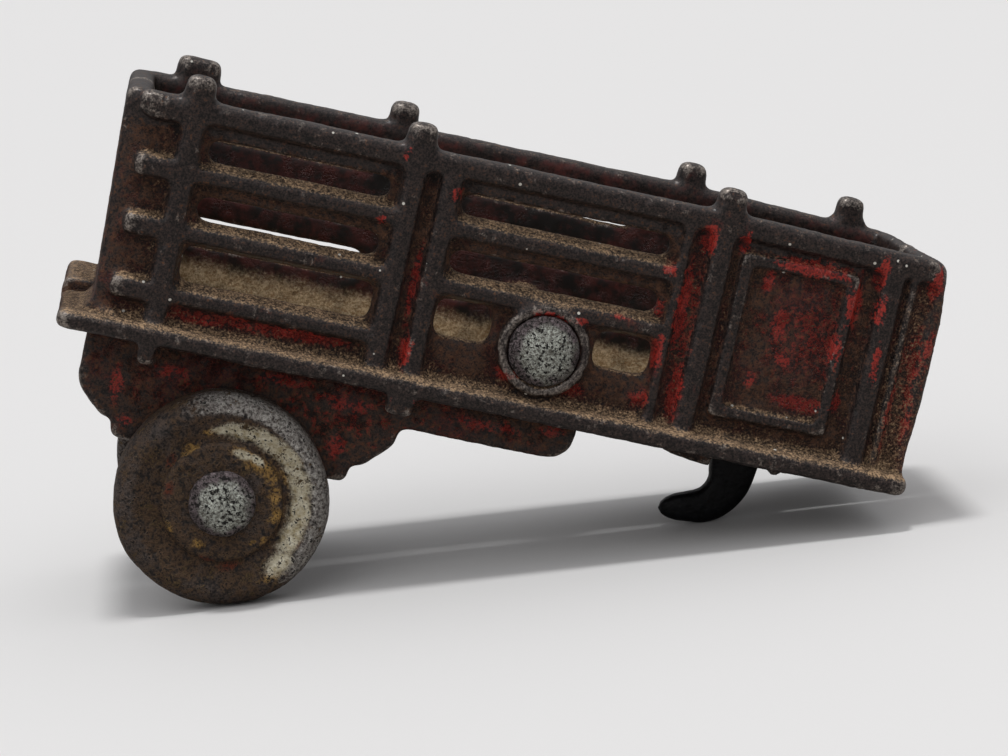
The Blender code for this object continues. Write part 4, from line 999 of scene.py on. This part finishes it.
class StageSettings(bpy.types.PropertyGroup):
    """The camera, the lamps and the surroundings."""
    lens: bpy.props.FloatProperty(name="Lens", description="Focal length in mm",
                                  default=FOCUS_IN_PIXELS * SENSOR_WIDTH / PHOTO_WIDTH,
                                  min=10.0)
    key_strength: bpy.props.FloatProperty(name="Key", description="Light from overhead",
                                          default=1.25, min=0.0)
    fill_strength: bpy.props.FloatProperty(name="Fill", description="Light from the front",
                                           default=0.3, min=0.0)
    sky: bpy.props.FloatProperty(name="Sky", description="Strength of the pale surroundings",
                                 default=0.58, min=0.0)


# ---------------------------------------------------------------- operators

class TOYTRAILER_OT_castings(bpy.types.Operator):
    """Make the two body castings and their worn enamel"""
    bl_idname = "toytrailer.castings"
    bl_label = "Body castings"

    def execute(self, context):
        sizes = context.scene.toytrailer_casting
        surface = worn_enamel_on_cast_iron(context.scene.toytrailer_finish)
        for node, side, seed in (("body_half_right", -1, 11), ("body_half_left", 1, 47)):
            mesh = mark_casting(soft_casting(node, side, sizes, seed))
            dress(node.replace("body_half", "casting"), mesh, surface, "trailer_body",
                  "worn_red_iron", node)
        return {"FINISHED"}


class TOYTRAILER_OT_wheels(bpy.types.Operator):
    """Turn the two wheels"""
    bl_idname = "toytrailer.wheels"
    bl_label = "Wheels"

    def execute(self, context):
        surface = worn_cream_on_cast_iron(context.scene.toytrailer_finish)
        for name, side, turn, body in (("right", -1, 0.0, "right_wheel"),
                                       ("left", 1, 2.1, "left_wheel")):
            mesh = wheel_piece(side, turn, 71 + side)
            dress(f"iron_wheel_{name}", mesh, surface, body, "wheel_iron", f"wheel_{name}")
        return {"FINISHED"}


class TOYTRAILER_OT_pins(bpy.types.Operator):
    """Peen the body rivet and the axle"""
    bl_idname = "toytrailer.pins"
    bl_label = "Rivet and axle"

    def execute(self, context):
        surface = peened_steel(context.scene.toytrailer_finish)
        rivet_centre = to_world(np.array(RIVET_LEVEL))
        for name, centre, sizes, body, node, seed in (
                ("peened_rivet", rivet_centre, RIVET_SIZES, "trailer_body", "body_rivet", 83),
                ("peened_axle", AXLE_CENTRE, AXLE_SIZES, "axle_shaft", "axle", 97)):
            mesh = pin_mesh(centre, *sizes, seed)
            dress(name, mesh, surface, body, "rivet_steel", node)
        return {"FINISHED"}


class TOYTRAILER_OT_hook(bpy.types.Operator):
    """Bend the coupling hook"""
    bl_idname = "toytrailer.hook"
    bl_label = "Coupling hook"

    def execute(self, context):
        surface = black_japanned_iron(context.scene.toytrailer_finish)
        dress("bent_hook", hook_mesh(101), surface, "trailer_body", "black_iron",
              "coupling_hook")
        return {"FINISHED"}


# The camera, fitted to points of the photograph: its place in mm, its heading and its up
CAMERA_PLACE = (-28.84, -338.53, 77.85)
CAMERA_AHEAD = (0.0833, 0.98143, -0.1728)
CAMERA_UP = (0.11002, 0.16329, 0.98043)
# The table top's lowest and highest corner, in metres
TABLE = ((-3.0, -2.0), (3.0, 5.0))


class TOYTRAILER_OT_stage(bpy.types.Operator):
    """Lay the floor, hang the lamps and aim the camera as the photograph was taken"""
    bl_idname = "toytrailer.stage"
    bl_label = "Stage"

    def execute(self, context):
        scene = context.scene
        setup = scene.toytrailer_stage
        (left, near), (right, far) = TABLE
        corners = [(left, near, 0.0), (right, near, 0.0), (right, far, 0.0), (left, far, 0.0)]
        mesh = bpy.data.meshes.new("table_top")
        mesh.from_pydata(corners, [], [(0, 1, 2, 3)])
        mesh.materials.append(pale_table(scene.toytrailer_finish))
        linked("table_top", mesh)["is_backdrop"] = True
        lamps = (("key", (-0.06, -0.05, 1.0), 9.0, setup.key_strength),
                 ("fill", (-0.5, -0.8, 0.7), 50.0, setup.fill_strength))
        for name, towards, width, strength in lamps:
            data = bpy.data.lights.new(name, "SUN")
            data.angle = math.radians(width)
            data.energy = strength
            lamp = linked(name, data)
            lamp.rotation_euler = (-Vector(towards)).to_track_quat("-Z", "Y").to_euler()
        world = bpy.data.worlds.new("pale_room")
        world.use_nodes = True
        tree = world.node_tree
        seen = add_node(tree, "ShaderNodeLightPath")
        towards = add_node(tree, "ShaderNodeTexCoord").outputs["Generated"]
        height = add_node(tree, "ShaderNodeSeparateXYZ", {0: towards}).outputs["Z"]
        dome = add_node(tree, "ShaderNodeMapRange", {"Value": height, "To Min": 0.2 * setup.sky,
                                                     "To Max": 1.4 * setup.sky}).outputs[0]
        strength = add_node(tree, "ShaderNodeMix", {0: seen.outputs["Is Camera Ray"],
                                                    2: dome, 3: 0.8}).outputs[0]
        sky = tree.nodes["Background"]
        sky.inputs["Color"].default_value = linear("FDFDFF")
        tree.links.new(strength, sky.inputs["Strength"])
        scene.world = world
        data = bpy.data.cameras.new("photograph")
        data.sensor_width = SENSOR_WIDTH
        data.lens = setup.lens
        camera = linked("photograph", data)
        ahead = Vector(CAMERA_AHEAD).normalized()
        side = ahead.cross(Vector(CAMERA_UP)).normalized()
        turned = Matrix((side, side.cross(ahead), -ahead)).transposed().to_4x4()
        turned.translation = Vector(CAMERA_PLACE) * MM
        camera.matrix_world = turned
        scene.camera = camera
        scene.view_settings.view_transform = "Standard"
        return {"FINISHED"}


class TOYTRAILER_PT_looks(bpy.types.Panel):
    """Settings and steps of the toy trailer's looks"""
    bl_idname = "TOYTRAILER_PT_looks"
    bl_label = "Toy Stake Trailer"
    bl_space_type = "VIEW_3D"
    bl_region_type = "UI"
    bl_category = "Toy Trailer"

    def draw(self, context):
        layout = self.layout
        for operator in OPERATORS:
            layout.operator(operator.bl_idname)
        for group in (context.scene.toytrailer_casting, context.scene.toytrailer_finish,
                      context.scene.toytrailer_stage):
            column = layout.column()
            for name in group.__annotations__:
                column.prop(group, name)


OPERATORS = (TOYTRAILER_OT_castings, TOYTRAILER_OT_wheels, TOYTRAILER_OT_pins,
             TOYTRAILER_OT_hook, TOYTRAILER_OT_stage)
GROUPS = {"toytrailer_casting": CastingSettings, "toytrailer_finish": FinishSettings,
          "toytrailer_stage": StageSettings}


def register():
    """Register the settings, the operators and the panel."""
    for kind in (*GROUPS.values(), *OPERATORS, TOYTRAILER_PT_looks):
        bpy.utils.register_class(kind)
    for name, kind in GROUPS.items():
        setattr(bpy.types.Scene, name, bpy.props.PointerProperty(type=kind))


def unregister():
    """Undo register, in the opposite order."""
    for name in GROUPS:
        delattr(bpy.types.Scene, name)
    for kind in reversed((*GROUPS.values(), *OPERATORS, TOYTRAILER_PT_looks)):
        bpy.utils.unregister_class(kind)


def main():
    """Register everything and run each step in order."""
    register()
    bpy.ops.toytrailer.stage()
    bpy.ops.toytrailer.castings()
    bpy.ops.toytrailer.wheels()
    bpy.ops.toytrailer.pins()
    bpy.ops.toytrailer.hook()


if __name__ == "__main__":
    main()
